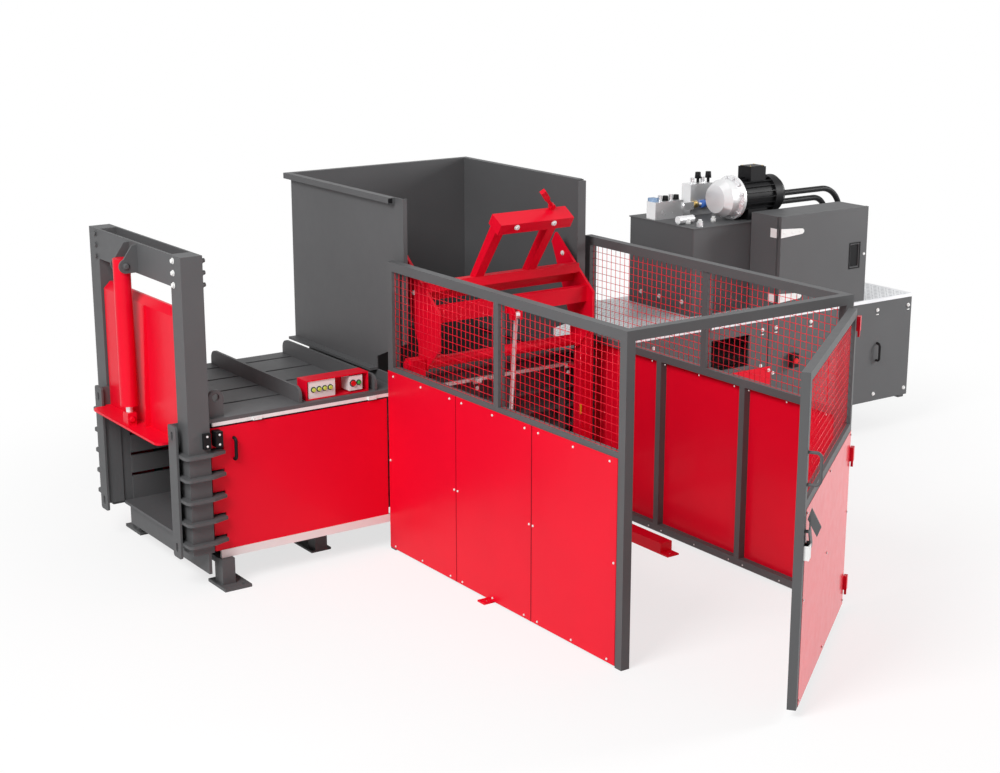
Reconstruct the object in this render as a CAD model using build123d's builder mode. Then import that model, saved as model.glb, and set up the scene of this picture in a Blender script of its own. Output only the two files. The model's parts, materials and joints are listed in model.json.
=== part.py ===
"""Horizontal recycling baler with bin lift, guard fence, power pack and bale door.

Millimetres. +X runs from the bale exit to the power pack, -Y is the operator's side
and +Z is up. The origin lies on the floor, midway between the four floor anchors.
"""
import os
from math import atan2, cos, degrees, hypot, radians, sin

from build123d import *

os.makedirs("parts", exist_ok=True)

# Floor anchors and feet
anchor_x = 1160.0
anchor_y = 750.0
anchor_hole_diameter = 22.0
foot_length = 190.0
foot_width = 250.0
foot_thickness = 20.0
foot_hole_edge = 40.0
leg_length = 90.0
leg_inner = 600.0
leg_width = 112.0
leg_offset = 82.0
skid_length = 150.0
skid_half_width = 463.0
skid_front_x = -425.0
skid_end_gap = 1165.0
skid_plate_thickness = 15.0

# Base and bale channel
floor_z = 276.0
floor_start_x = -1407.0
floor_thickness = 20.0
base_rail_height = 106.0
base_rail_inner = 120.0
base_rail_outer = 240.0
housing_floor_half = 460.0
channel_half_width = 550.0
channel_height = 825.0
channel_end_x = 2920.0
wall_thickness = 25.0
roof_thickness = 25.0
roof_half_width = 676.0
strap_slot_width = 25.0
strap_slot_pitch = 300.0
strap_slot_count = 4
strap_slot_shift = 75.0
roof_rib_centres_x = (-650.0, -80.0)
roof_rib_thickness = 20.0
roof_rib_half_width = 650.0
roof_rib_height = 105.0
roof_rib_corner_radius = 60.0
lug_centre_x = -1251.0
lug_width = 100.0
lug_thickness = 25.0
lug_hole_height = 127.0
lug_hole_diameter = 50.0
lug_edge_margin = 46.0

# Exit portal
exit_x = -1484.0
column_depth = 147.0
column_width = 150.0
column_inset = 15.0
column_bolt_diameter = 26.0
column_bolt_pitch = 76.0
column_bolt_top = 35.0
column_bolt_inset = 40.0
column_bolt_count = 3
portal_top_z = 2185.0
beam_height = 200.0
beam_plate_thickness = 15.0
fascia_x = -1380.0
fascia_thickness = 20.0
fascia_bottom_z = 116.0
fascia_rear_y = 520.0
rib_first_z = 327.0
rib_pitch = 146.5
rib_count = 5
rib_thickness = 20.0
rib_front_width = 40.0
rib_side_width = 40.0
rib_tail_length = 101.0
rib_tail_width = 5.0
rib_corner_radius = 35.0
long_rib_reach = 70.0
tie_strap_thickness = 10.0
tie_strap_width = 60.0
tie_strap_centres_x = (-1100.0, -400.0, 300.0, 1000.0, 1480.0)
wall_slot_height = 25.0
flange_thickness = 15.0
flange_inner = 532.0
flange_width = 113.0
flange_bottom_z = 225.0
flange_top_z = 1105.0
flange_slot_length = 60.0
flange_slot_width = 30.0
flange_slot_margin = 70.0
flange_corner_radius = 20.0
web_inner = 553.0

# Bale door and its cylinder
door_clearance = 15.0
door_plate_thickness = 18.0
door_plate_inset = 32.0
door_depth = 38.0
door_bottom_z = 965.0
door_top_z = 1830.0
door_bend_height = 45.0
door_rib_thickness = 15.0
door_rib_spacing = 230.0
door_rib_top_share = 0.25
sill_thickness = 15.0
sill_reach = 131.0
sill_half_width = 525.0
sill_corner_radius = 45.0
door_travel = 680.0
cylinder_stand_off = 81.0
door_barrel_diameter = 112.0
door_barrel_bottom_z = 1110.0
door_barrel_top_z = 2082.0
door_rod_diameter = 45.0
door_rod_guide_length = 80.0
rod_clearance = 0.4
door_pin_z = 2040.0
door_pin_diameter = 30.0
bracket_plate_thickness = 15.0
bracket_gap = 116.0
bracket_height = 132.0
bracket_top_length = 34.0
bracket_tip_radius = 46.0
bracket_pin_end = 5.0
clevis_height = 85.0
clevis_width = 80.0
clevis_depth = 60.0
side_pipe_diameter = 14.0
side_pipe_stand_off = 24.0
side_pipe_bend = 15.0
port_diameter = 26.0
port_height = 8.0

# Sliding side guards
guard_thickness = 12.0
guard_face = 672.0
guard_start_x = -1312.0
guard_end_x = -10.0
guard_top_z = 1065.0
guard_running_gap = 0.4
guard_notch_length = 87.0
guard_notch_height = 44.0
guard_rail_start_x = -1300.0
guard_rail_end_x = 1544.0
guard_rail_width = 21.0
guard_rail_outer = 676.0
guard_rail_bottom_z = 1077.0
guard_rail_height = 24.0
low_rail_start_x = -1270.0
low_rail_bottom_z = 191.0
low_rail_height = 54.0
rail_clamp_centres_x = (-986.0, -130.0, 860.0)
rail_clamp_length = 60.0
rail_clamp_depth = 14.0
hanger_height = 6.0
hanger_start_x = -1290.0
hanger_end_x = -30.0
hanger_stud_centres_x = (-1130.0, -640.0, -150.0)
hanger_stud_width = 14.0
guard_handle_x = -1152.0
guard_handle_bottom_z = 832.0
guard_handle_length = 160.0
guard_handle_diameter = 22.0
guard_handle_bend = 20.0
guard_handle_reach = 40.0
switch_z = 1006.0
switch_height = 100.0
switch_width = 48.0
switch_depth = 26.0
switch_gap = 12.0

# Control hood, panels and push buttons
hood_start_x = -598.0
hood_length = 470.0
hood_height = 135.0
hood_depth = 123.0
hood_front = 632.0
hood_sheet = 8.0
panel_inset = 8.0
panel_thickness = 8.0
panel_length = 200.0
panel_side_gap = 12.0
button_count = 4
button_pitch = 42.0
button_diameter = 26.0
button_height = 10.0
button_travel = 5.0
button_stem_diameter = 12.0
button_stem_length = 30.0
button_hole_clearance = 0.3
box_length = 100.0
box_height = 100.0
box_end_gap = 42.0
box_lift = 10.0
stop_button_diameter = 36.0
start_button_diameter = 26.0
button_pair_pitch = 44.0
stop_x = 3780.0
stop_z = 787.0
stop_box_width = 72.0
stop_box_height = 110.0
stop_box_depth = 48.0
stop_head_diameter = 44.0

# Hopper
hopper_start_x = 82.0
hopper_length = 1504.0
hopper_half_width = 764.0
hopper_top_z = 2413.0
hopper_sheet = 8.0
hopper_flange_left = 22.0
hopper_flange_right = 60.0
ring_height = 87.0
ring_flange_thickness = 18.0
skirt_thickness = 16.0
feed_start_x = 100.0
feed_end_x = 1570.0
ledge_front_gap = 34.0
hopper_notch_y = -400.0
hopper_notch_low = 77.0
hopper_notch_high = 227.0
ring_outset = 57.0
rim_size = 40.0
rim_end_gap = 98.0

# Press ram and main cylinder
ram_face_x = 1610.0
ram_length = 1300.0
ram_plate = 40.0
ram_sheet = 25.0
ram_side_clearance = 5.0
ram_slide_clearance = 0.4
ram_height = 799.0
ram_stroke = 1600.0
main_axis_z = 760.0
main_barrel_diameter = 250.0
main_barrel_start_x = 2950.0
main_barrel_base = 20.0
main_rod_diameter = 150.0
main_rod_guide_length = 90.0
main_gland_diameter = 290.0
main_gland_length = 90.0
thrust_length = 180.0
thrust_half_width = 300.0
thrust_height = 320.0
thrust_end_gap = 210.0

# Ram housing, covers and platform
housing_half_width = 622.0
cover_thickness = 15.0
housing_top_z = 1142.0
post_length = 60.0
post_depth = 32.0
post_foot_height = 40.0
post_foot_overlap = 30.0
cover_bottom_z = 300.0
post_start_gap = 48.0
post_end_gap = 50.0
cover_joint_x = 3520.0
cover_joint_gap = 10.0
window_start_x = 2900.0
window_length = 420.0
window_bottom_z = 803.0
window_height = 249.0
hatch_start_x = 3120.0
hatch_length = 432.0
hatch_top_z = 768.0
hatch_height = 350.0
hatch_thickness = 5.0
cover_handle_end_gap = 390.0
cover_handle_z = 718.0
cover_handle_length = 164.0
cover_handle_diameter = 20.0
cover_handle_bend = 22.0
cover_handle_reach = 45.0
platform_thickness = 28.0
platform_edge_width = 40.0
platform_sheet = 10.0
platform_edge_thickness = 5.0

# Power pack
tank_start_x = 3010.0
tank_length = 1190.0
tank_front = 280.0
tank_back = 495.0
tank_height = 698.0
tank_lid_thickness = 8.0
tank_lid_overhang = 8.0
tank_edge_radius = 12.0
motor_axis_y = -105.0
motor_axis_height = 176.0
bell_start_x = 3380.0
bell_length = 180.0
bell_nose_radius = 112.0
bell_body_radius = 150.0
bell_flange_radius = 175.0
bell_flange_length = 26.0
motor_length = 450.0
motor_radius = 132.0
motor_fin_count = 20
motor_fin_height = 18.0
motor_fin_thickness = 7.0
motor_end_radius = 152.0
motor_end_length = 110.0
motor_end_dome = 30.0
motor_shield_length = 30.0
motor_foot_length = 200.0
motor_foot_width = 240.0
terminal_box_length = 160.0
terminal_box_width = 150.0
terminal_box_top = 232.0
terminal_box_gap = 125.0
manifold_sizes = ((3020.0, 245.0, 290.0, 110.0, 140.0), (3400.0, 265.0, 230.0, 110.0, 250.0))
coil_diameter = 36.0
coil_height = 46.0
coil_pitch = 110.0
port_block_start_x = 3740.0
port_block_length = 120.0
port_block_back = 210.0
port_block_front = 62.0
port_block_height = 190.0
pipe_diameter = 48.0
pipe_rows = ((100.0, 120.0, 165.0, 220.0), (170.0, 36.0, 262.0, 150.0))
relief_length = 150.0
relief_diameter = 64.0
relief_start_x = 3040.0
relief_y = -60.0
filler_x = 3120.0
filler_y = -230.0
filler_diameter = 52.0
filler_height = 30.0

# Control cabinet
cabinet_start_x = 3605.0
cabinet_length = 964.0
cabinet_depth = 288.0
cabinet_height = 775.0
cabinet_sheet = 15.0
cabinet_face = 580.0
cabinet_door_thickness = 30.0
cabinet_door_gap = 0.4
cabinet_hinge_inset = 8.0
hinge_door_gap = 3.0
hinge_leaf_depth = 60.0
cabinet_lip = 25.0
cabinet_door_overhang = 12.0
hinge_pin_diameter = 16.0
strap_length = 240.0
strap_height = 70.0
strap_tip_height = 40.0
strap_tip_radius = 16.0
strap_thickness = 6.0
strap_margin = 130.0
cabinet_handle_inset = 136.0
cabinet_handle_height = 180.0
cabinet_handle_width = 95.0
cabinet_handle_depth = 20.0
cabinet_handle_thickness = 12.0
handle_side_gap = 3.0
handle_top_gap = 10.0
handle_corner_radius = 10.0

# Guard fence
fence_width = 1744.0
fence_front_y = -3203.0
fence_left_rear_y = -681.0
fence_right_rear_y = -631.0
fence_height = 2000.0
fence_post = 60.0
fence_rail = 50.0
fence_mid_z = 1240.0
fence_bottom_gap = 12.0
fence_bay_count = 2
fence_panel_count = 3
fence_panel_gap = 8.0
fence_panel_top_z = 1260.0
fence_sheet = 4.0
mesh_thickness = 5.0
mesh_bar = 6.0
mesh_columns = 8
mesh_rows = 5

# Gate
gate_open_angle = 36.0
gate_width = 1674.0
gate_axis_inset = 30.0
gate_axis_out = 30.0
gate_start = 25.0
gate_bar = 50.0
gate_bottom_z = 50.0
gate_top_z = 1930.0
gate_mid_z = 1178.0
gate_handle_start_z = 1313.0
gate_handle_length = 195.0
gate_handle_diameter = 18.0
gate_handle_bend = 30.0
gate_handle_reach = 80.0
gate_handle_inset = 25.0
gate_hinge_heights_z = (165.0, 1000.0, 1815.0)
gate_knuckle_diameter = 34.0
gate_knuckle_height = 40.0
gate_knuckle_gap = 0.4
gate_pin_diameter = 16.0
gate_pin_clearance = 0.3
gate_leaf_thickness = 8.0
latch_z = 1060.0
latch_inset = 40.0
latch_length = 150.0
latch_width = 46.0
latch_thickness = 8.0
latch_tilt = 35.0
latch_pivot_diameter = 18.0
latch_pivot_length = 20.0
lock_body_size = 44.0
lock_body_depth = 24.0

# Bin lift
lift_centre_x = 834.0
lift_pivot_y = -805.0
lift_pivot_z = 1300.0
lift_swing = 126.0
torque_tube_diameter = 80.0
bearing_clearance = 0.3
mast_width = 100.0
mast_front = 63.0
mast_back = 33.0
mast_top = 48.0
mast_spacing = 1412.0
lift_rail_spacing = 1296.0
stub_diameter = 46.0
mast_tie_length = 50.0
end_cap_length = 12.0
end_cap_gap = 0.4
lift_rail_height = 80.0
lift_rail_end_y = -1840.0
lift_foot_plate = 12.0
lift_foot_end_y = -1916.0
lift_foot_outer_x = -71.0
lift_slot_centres_x = (-27.0, 1482.0)
lift_foot_hole_y = -1878.0
lift_foot_hole_length = 46.0
lift_foot_hole_width = 26.0
tie_depth = 80.0
arm_spacing = 1292.0
arm_thickness = 20.0
arm_front = 208.0
arm_front_low = 127.0
arm_front_high = 380.0
arm_top_in = 228.0
arm_top = 736.0
arm_tip = 70.0
arm_tip_share = 0.6
arm_waist = 150.0
arm_waist_height = 394.0
arm_root = 42.0
beam_front = 145.0
beam_depth = 60.0
lift_beam_height = 110.0
lift_beam_bottom = 300.0
cross_bar_size = 64.0
cross_bar_centre_y = -24.0
cross_bar_centre = 525.0
tip_frame_lean = 32.4
tip_frame_length = 501.0
tip_frame_width = 502.0
tip_bar_size = 70.0
tip_head_width = 592.0
tip_head_height = 80.0
tip_head_depth = 120.0
tip_head_shift = 46.0
clamp_offset = 168.0
clamp_shank_width = 24.0
clamp_shank_thickness = 14.0
clamp_shank_length = 80.0
clamp_grip_width = 38.0
clamp_grip_thickness = 30.0
clamp_grip_length = 90.0
clamp_tilt = 43.0
clamp_hub_diameter = 44.0
clamp_hub_length = 30.0
eye_offset_y = -175.0
eye_offset_z = 285.0
eye_width = 44.0
eye_radius = 26.0
eye_gap = 2.0
eye_lug_thickness = 12.0
eye_lug_reach = 28.0
eye_pin_diameter = 24.0
eye_pin_head = 6.0
lift_rod_diameter = 30.0
lift_barrel_diameter = 62.0
lift_neck_length = 42.0
lift_end_clearance = 10.0
lift_barrel_cap = 95.0
lift_rod_guide_length = 60.0
base_eye_radius = 32.0
base_pin_diameter = 25.0

# One overrun serves every cut
cut_overrun = 10.0

# Levels and stations worked out from the sizes above
base_z = floor_z - floor_thickness - base_rail_height
floor_under_z = floor_z - floor_thickness
ceiling_z = floor_z + channel_height
roof_z = ceiling_z + roof_thickness
wall_outer = channel_half_width + wall_thickness
column_back_x = exit_x + column_depth
column_inner = channel_half_width + column_inset
column_outer = column_inner + column_width
rib_outer = column_outer + rib_side_width
long_rib_outer = wall_outer + long_rib_reach
guard_inner = guard_face - guard_thickness
hopper_end_x = hopper_start_x + hopper_length
ring_z = roof_z + ring_height
ring_start_x = hopper_start_x - ring_outset
ring_end_x = hopper_end_x + ring_outset
ring_under_z = ring_z - ring_flange_thickness
housing_start_x = hopper_end_x + skirt_thickness
main_barrel_length = ram_stroke + 2 * main_rod_guide_length + main_barrel_base
barrel_end_x = main_barrel_start_x + main_barrel_length
housing_end_x = barrel_end_x + thrust_length + thrust_end_gap
skid_centres_x = (skid_front_x, housing_end_x - skid_end_gap)
post_centres_x = (housing_start_x + post_start_gap, cover_joint_x, housing_end_x - post_end_gap)
cover_handle_x = housing_end_x - cover_handle_end_gap
platform_z = housing_top_z + platform_thickness
cover_inner = housing_half_width - cover_thickness
tank_top_z = platform_z + tank_height
fence_inner_x = fence_width - fence_post


def ordered(first, second):
    """The two values, lower one first."""
    return (min(first, second), max(first, second))


def around(centre, size):
    """The range of a size set evenly about its centre."""
    return (centre - size / 2, centre + size / 2)


def bar(x_range, y_range, z_range, plane=Plane.XY):
    """A straight bar or plate that fills three ranges of the given plane."""
    ranges = (x_range, y_range, z_range)
    middle = tuple((low + high) / 2 for low, high in ranges)
    sizes = tuple(high - low for low, high in ranges)
    with BuildPart(plane) as piece:
        with Locations(middle):
            Box(*sizes)
    return piece.part


def rod(start, direction, length, diameter):
    """A round bar from a start point along a direction."""
    with BuildPart(Plane(origin=start, z_dir=direction)) as piece:
        Cylinder(diameter / 2, length, align=(Align.CENTER, Align.CENTER, Align.MIN))
    return piece.part


def plate_yz(points, x_range):
    """A plate across X, cut to an outline of (y, z) points."""
    with BuildPart() as piece:
        with BuildSketch(Plane.YZ.offset(x_range[0])):
            with BuildLine():
                Polyline(*points, close=True)
            make_face()
        extrude(amount=x_range[1] - x_range[0])
    return piece.part


def bow_handle(feet, outward, reach, diameter, bend_radius):
    """A bent round bar: two legs that stand out from a face, and the grip between them."""
    first, last = (Vector(*foot) for foot in feet)
    out = Vector(*outward) * (reach - diameter / 2)
    with BuildPart() as handle:
        with BuildLine() as handle_path:
            FilletPolyline(first, first + out, last + out, last, radius=bend_radius)
        with BuildSketch(Plane(origin=first, z_dir=outward)):
            Circle(diameter / 2)
        sweep(path=handle_path.line)
    return handle.part


def save(label, *pieces):
    """Write one node, whose solids stay separate where they only touch."""
    solids = [solid for piece in pieces for solid in piece.solids()]
    node = Compound(solids)
    node.label = label
    export_step(node, f"parts/{label}.step")


# Base frame: two long rails, the exit fascia, cross beams, floor skids and the channel floor
fascia_back_x = fascia_x + fascia_thickness
base_pieces = [
    bar((fascia_x, fascia_back_x), (-column_outer, fascia_rear_y), (fascia_bottom_z, floor_under_z)),
]
for floor_x, half_width in (
    ((floor_start_x, channel_end_x), channel_half_width),
    ((channel_end_x, housing_end_x), housing_floor_half),
):
    base_pieces.append(bar(floor_x, (-half_width, half_width), (floor_under_z, floor_z)))
for side in (-1, 1):
    rail_y = ordered(side * base_rail_inner, side * base_rail_outer)
    base_pieces.append(bar((fascia_back_x, housing_end_x), rail_y, (base_z, floor_under_z)))
    for skid_x in skid_centres_x:
        outer_y = ordered(side * base_rail_outer, side * skid_half_width)
        web_y = ordered(side * (skid_half_width - leg_width), side * skid_half_width)
        base_pieces.append(bar(around(skid_x, leg_length), outer_y, (base_z, floor_under_z)))
        base_pieces.append(bar(around(skid_x, leg_length), web_y, (skid_plate_thickness, base_z)))
    for end in (-1, 1):
        beam_x = around(end * (anchor_x + leg_offset), leg_length)
        beam_y = ordered(side * base_rail_outer, side * leg_inner)
        base_pieces.append(bar(beam_x, beam_y, (base_z, low_rail_bottom_z)))
for skid_x in skid_centres_x:
    skid_y = (-skid_half_width, skid_half_width)
    base_pieces.append(bar(around(skid_x, skid_length), skid_y, (0, skid_plate_thickness)))
    middle_y = (-base_rail_inner, base_rail_inner)
    base_pieces.append(bar(around(skid_x, leg_length), middle_y, (base_z, floor_under_z)))
save("base_frame", *base_pieces)

# Anchored feet at the exit and below the hopper
foot_pieces = []
for end in (-1, 1):
    for side in (-1, 1):
        hole_x = end * anchor_x
        hole_y = side * anchor_y
        plate_x = ordered(hole_x - end * foot_hole_edge, hole_x + end * (foot_length - foot_hole_edge))
        plate_y = ordered(hole_y + side * foot_hole_edge, hole_y - side * (foot_width - foot_hole_edge))
        with BuildPart() as foot_plate:
            with Locations((sum(plate_x) / 2, sum(plate_y) / 2, foot_thickness / 2)):
                Box(foot_length, foot_width, foot_thickness)
            with Locations((hole_x, hole_y, foot_thickness)):
                Hole(anchor_hole_diameter / 2)
        leg_x = around(hole_x + end * leg_offset, leg_length)
        leg_y = ordered(side * leg_inner, side * (leg_inner + leg_width))
        foot_pieces.append(foot_plate.part)
        foot_pieces.append(bar(leg_x, leg_y, (foot_thickness, low_rail_bottom_z)))
save("anchor_feet", *foot_pieces)

# Channel walls: strips with strap slots ahead of the hopper, plain plate behind
rib_heights_z = [rib_first_z + index * rib_pitch for index in range(rib_count)]
slot_tops_z = [height - rib_thickness / 2 for height in rib_heights_z[1:]]
strip_bottoms_z = [floor_under_z] + slot_tops_z
strip_tops_z = [top - wall_slot_height for top in slot_tops_z] + [ceiling_z]
wall_pieces = []
for side in (-1, 1):
    wall_y = ordered(side * channel_half_width, side * wall_outer)
    for strip_bottom, strip_top in zip(strip_bottoms_z, strip_tops_z):
        wall_pieces.append(bar((column_back_x, feed_start_x), wall_y, (strip_bottom, strip_top)))
    wall_pieces.append(bar((feed_start_x, channel_end_x), wall_y, (floor_under_z, roof_z)))
save("channel_walls", *wall_pieces)

# Long wall ribs that carry the strips, tied by upright straps
long_rib_pieces = []
for side in (-1, 1):
    rib_y = ordered(side * wall_outer, side * long_rib_outer)
    for rib_z in rib_heights_z:
        long_rib_pieces.append(
            bar((column_back_x + rib_tail_length, hopper_end_x), rib_y, around(rib_z, rib_thickness))
        )
    strap_y = ordered(side * long_rib_outer, side * (long_rib_outer + tie_strap_thickness))
    for strap_x in tie_strap_centres_x:
        long_rib_pieces.append(bar(around(strap_x, tie_strap_width), strap_y, (low_rail_bottom_z, ceiling_z)))
save("wall_ribs", *long_rib_pieces)

# Column ribs: bent plates that wrap each exit column
column_rib_pieces = []
for side in (-1, 1):
    for rib_z in rib_heights_z:
        with BuildPart() as column_rib:
            with BuildSketch(Plane.XY.offset(rib_z - rib_thickness / 2)) as rib_outline:
                with BuildLine():
                    Polyline(
                        (exit_x - rib_front_width, side * column_inner),
                        (exit_x - rib_front_width, side * rib_outer),
                        (column_back_x, side * rib_outer),
                        (column_back_x + rib_tail_length, side * (column_outer + rib_tail_width)),
                        (column_back_x + rib_tail_length, side * wall_outer),
                        (column_back_x, side * wall_outer),
                        (column_back_x, side * column_outer),
                        (exit_x, side * column_outer),
                        (exit_x, side * column_inner),
                        close=True,
                    )
                make_face()
                front_corners = rib_outline.vertices().group_by(Axis.X)[0].sort_by(Axis.Y)
                fillet(front_corners[0 if side < 0 else -1], rib_corner_radius)
            extrude(amount=rib_thickness)
        column_rib_pieces.append(column_rib.part)
save("column_ribs", *column_rib_pieces)

# Channel roof: plates between strap slots, two cross ribs and two lifting lugs
slot_centres_y = [
    strap_slot_shift + (index - (strap_slot_count - 1) / 2) * strap_slot_pitch
    for index in range(strap_slot_count)
]
plate_starts_y = [-roof_half_width] + [centre + strap_slot_width / 2 for centre in slot_centres_y]
plate_ends_y = [centre - strap_slot_width / 2 for centre in slot_centres_y] + [roof_half_width]
roof_pieces = [
    bar((column_back_x, feed_start_x), (start, end), (ceiling_z, roof_z))
    for start, end in zip(plate_starts_y, plate_ends_y)
]
for rib_x in roof_rib_centres_x:
    with BuildPart() as roof_rib:
        with BuildSketch(Plane.YZ.offset(rib_x - roof_rib_thickness / 2)) as roof_rib_outline:
            with Locations((0, roof_z + roof_rib_height / 2)):
                Rectangle(2 * roof_rib_half_width, roof_rib_height)
            fillet(roof_rib_outline.vertices().group_by(Axis.Y)[-1], roof_rib_corner_radius)
        extrude(amount=roof_rib_thickness)
    roof_pieces.append(roof_rib.part)
for side in (-1, 1):
    lug_plane = Plane.XZ.offset(side * (roof_half_width - lug_edge_margin) - lug_thickness / 2)
    with BuildPart() as lifting_lug:
        with BuildSketch(lug_plane) as lug_outline:
            with Locations((lug_centre_x, roof_z + lug_hole_height / 2)):
                Rectangle(lug_width, lug_hole_height)
            with Locations((lug_centre_x, roof_z + lug_hole_height)):
                Circle(lug_width / 2)
                Circle(lug_hole_diameter / 2, mode=Mode.SUBTRACT)
        extrude(amount=lug_thickness)
    roof_pieces.append(lifting_lug.part)
save("channel_roof", *roof_pieces)

# Exit portal: two bolted columns, the double cross beam, the chute flanges and their webs
portal_pieces = []
bolt_heights_z = [
    portal_top_z - column_bolt_top - index * column_bolt_pitch for index in range(column_bolt_count)
]
for side in (-1, 1):
    column_y = ordered(side * column_inner, side * column_outer)
    with BuildPart() as column:
        with Locations((exit_x + column_depth / 2, sum(column_y) / 2, (floor_under_z + portal_top_z) / 2)):
            Box(column_depth, column_width, portal_top_z - floor_under_z)
        with BuildSketch(Plane.YZ.offset(exit_x - cut_overrun)):
            for bolt_z in bolt_heights_z:
                with Locations((side * (column_inner + column_bolt_inset), bolt_z)):
                    Circle(column_bolt_diameter / 2)
        extrude(amount=column_depth + 2 * cut_overrun, mode=Mode.SUBTRACT)
    portal_pieces.append(column.part)
    flange_centre_y = side * (flange_inner + flange_width / 2)
    flange_mid_z = (flange_bottom_z + flange_top_z) / 2
    slot_heights_z = (flange_bottom_z + flange_slot_margin, flange_top_z - flange_slot_margin)
    with BuildPart() as chute_flange:
        with BuildSketch(Plane.YZ.offset(exit_x - rib_front_width - flange_thickness)):
            with Locations((flange_centre_y, flange_mid_z)):
                RectangleRounded(flange_width, flange_top_z - flange_bottom_z, flange_corner_radius)
            for slot_z in slot_heights_z:
                with Locations((flange_centre_y, slot_z)):
                    SlotOverall(flange_slot_length, flange_slot_width, rotation=90, mode=Mode.SUBTRACT)
        extrude(amount=flange_thickness)
    portal_pieces.append(chute_flange.part)
    web_x = (exit_x - rib_front_width, floor_start_x)
    web_y = ordered(side * web_inner, side * column_inner)
    portal_pieces.append(bar(web_x, web_y, (floor_z, flange_top_z)))
beam_z = (portal_top_z - beam_height, portal_top_z)
beam_y = (-column_inner, column_inner)
portal_pieces.append(bar((exit_x, exit_x + beam_plate_thickness), beam_y, beam_z))
portal_pieces.append(bar((column_back_x - beam_plate_thickness, column_back_x), beam_y, beam_z))

# Door cylinder bracket on the beam: two plates and a through pin
pin_x = exit_x - cylinder_stand_off
for side in (-1, 1):
    inner_y = side * bracket_gap / 2
    bracket_plane = Plane.XZ.offset(-max(inner_y, inner_y + side * bracket_plate_thickness))
    with BuildPart() as bracket_plate:
        with BuildSketch(bracket_plane):
            with BuildLine():
                Polyline(
                    (exit_x, door_pin_z + bracket_height),
                    (exit_x - bracket_top_length, door_pin_z + bracket_height),
                    (pin_x - bracket_tip_radius, door_pin_z),
                    (pin_x, door_pin_z - bracket_tip_radius),
                    (exit_x, door_pin_z - bracket_tip_radius),
                    close=True,
                )
            make_face()
            with Locations((pin_x, door_pin_z)):
                Circle(bracket_tip_radius)
                Circle(door_pin_diameter / 2, mode=Mode.SUBTRACT)
        extrude(amount=bracket_plate_thickness)
    portal_pieces.append(bracket_plate.part)
pin_half_length = bracket_gap / 2 + bracket_plate_thickness + bracket_pin_end
portal_pieces.append(
    rod((pin_x, -pin_half_length, door_pin_z), (0, 1, 0), 2 * pin_half_length, door_pin_diameter)
)
save("exit_portal", *portal_pieces)

# Door cylinder barrel: bored tube hung on the pin, with two ports and a side pipe
port_heights_z = (
    door_barrel_bottom_z + door_rod_guide_length,
    door_pin_z - bracket_tip_radius - door_rod_guide_length,
)
with BuildPart() as door_barrel:
    with BuildSketch(Plane.XY.offset(door_barrel_bottom_z)):
        with Locations((pin_x, 0)):
            Circle(door_barrel_diameter / 2)
    extrude(amount=door_barrel_top_z - door_barrel_bottom_z)
    with BuildSketch(Plane.XZ.offset(-door_barrel_diameter)):
        with Locations((pin_x, door_pin_z)):
            Circle(door_pin_diameter / 2)
    extrude(amount=2 * door_barrel_diameter, mode=Mode.SUBTRACT)
    with BuildSketch(Plane.XZ):
        for port_z in port_heights_z:
            with Locations((pin_x, port_z)):
                Circle(port_diameter / 2)
    extrude(amount=-(door_barrel_diameter / 2 + port_height))
    with BuildSketch(Plane.XY.offset(door_barrel_bottom_z)):
        with Locations((pin_x, 0)):
            Circle(door_rod_diameter / 2 + rod_clearance)
    extrude(amount=door_travel + 2 * door_rod_guide_length, mode=Mode.SUBTRACT)
port_face_y = door_barrel_diameter / 2 + port_height
pipe_y = door_barrel_diameter / 2 + side_pipe_stand_off
with BuildPart() as side_pipe:
    with BuildLine() as side_pipe_path:
        FilletPolyline(
            (pin_x, port_face_y, port_heights_z[0]),
            (pin_x, pipe_y, port_heights_z[0]),
            (pin_x, pipe_y, port_heights_z[1]),
            (pin_x, port_face_y, port_heights_z[1]),
            radius=side_pipe_bend,
        )
    with BuildSketch(Plane(origin=(pin_x, port_face_y, port_heights_z[0]), z_dir=(0, 1, 0))):
        Circle(side_pipe_diameter / 2)
    sweep(path=side_pipe_path.line)
save("door_cylinder", door_barrel.part, side_pipe.part)

# Bale door: a plate with its top bent back, tapered ribs, and the sill with the rod's block
door_half_width = column_inner - door_clearance
door_back_x = exit_x + door_plate_inset
door_face_x = door_back_x - door_plate_thickness
door_front_x = door_face_x - door_depth
door_bend_z = door_top_z - door_bend_height
sill_top_z = door_bottom_z + sill_thickness
with BuildPart() as door_plate:
    with BuildSketch(Plane.XZ.offset(-door_half_width)):
        with BuildLine():
            Polyline(
                (door_face_x, sill_top_z),
                (door_face_x, door_bend_z),
                (door_face_x + door_bend_height, door_top_z),
                (door_back_x + door_bend_height, door_top_z),
                (door_back_x, door_bend_z),
                (door_back_x, sill_top_z),
                close=True,
            )
        make_face()
    extrude(amount=2 * door_half_width)
door_pieces = [door_plate.part]
for side in (-1, 1):
    rib_centre_y = side * door_rib_spacing / 2
    with BuildPart() as door_rib:
        with BuildSketch(Plane.XZ.offset(-rib_centre_y - door_rib_thickness / 2)):
            with BuildLine():
                Polyline(
                    (door_face_x, sill_top_z),
                    (door_front_x, sill_top_z),
                    (door_face_x - door_depth * door_rib_top_share, door_bend_z),
                    (door_face_x, door_bend_z),
                    close=True,
                )
            make_face()
        extrude(amount=door_rib_thickness)
    door_pieces.append(door_rib.part)
clevis_top_z = sill_top_z + clevis_height
door_pieces.append(bar(around(pin_x, clevis_depth), around(0, clevis_width), (sill_top_z, clevis_top_z)))
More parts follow.
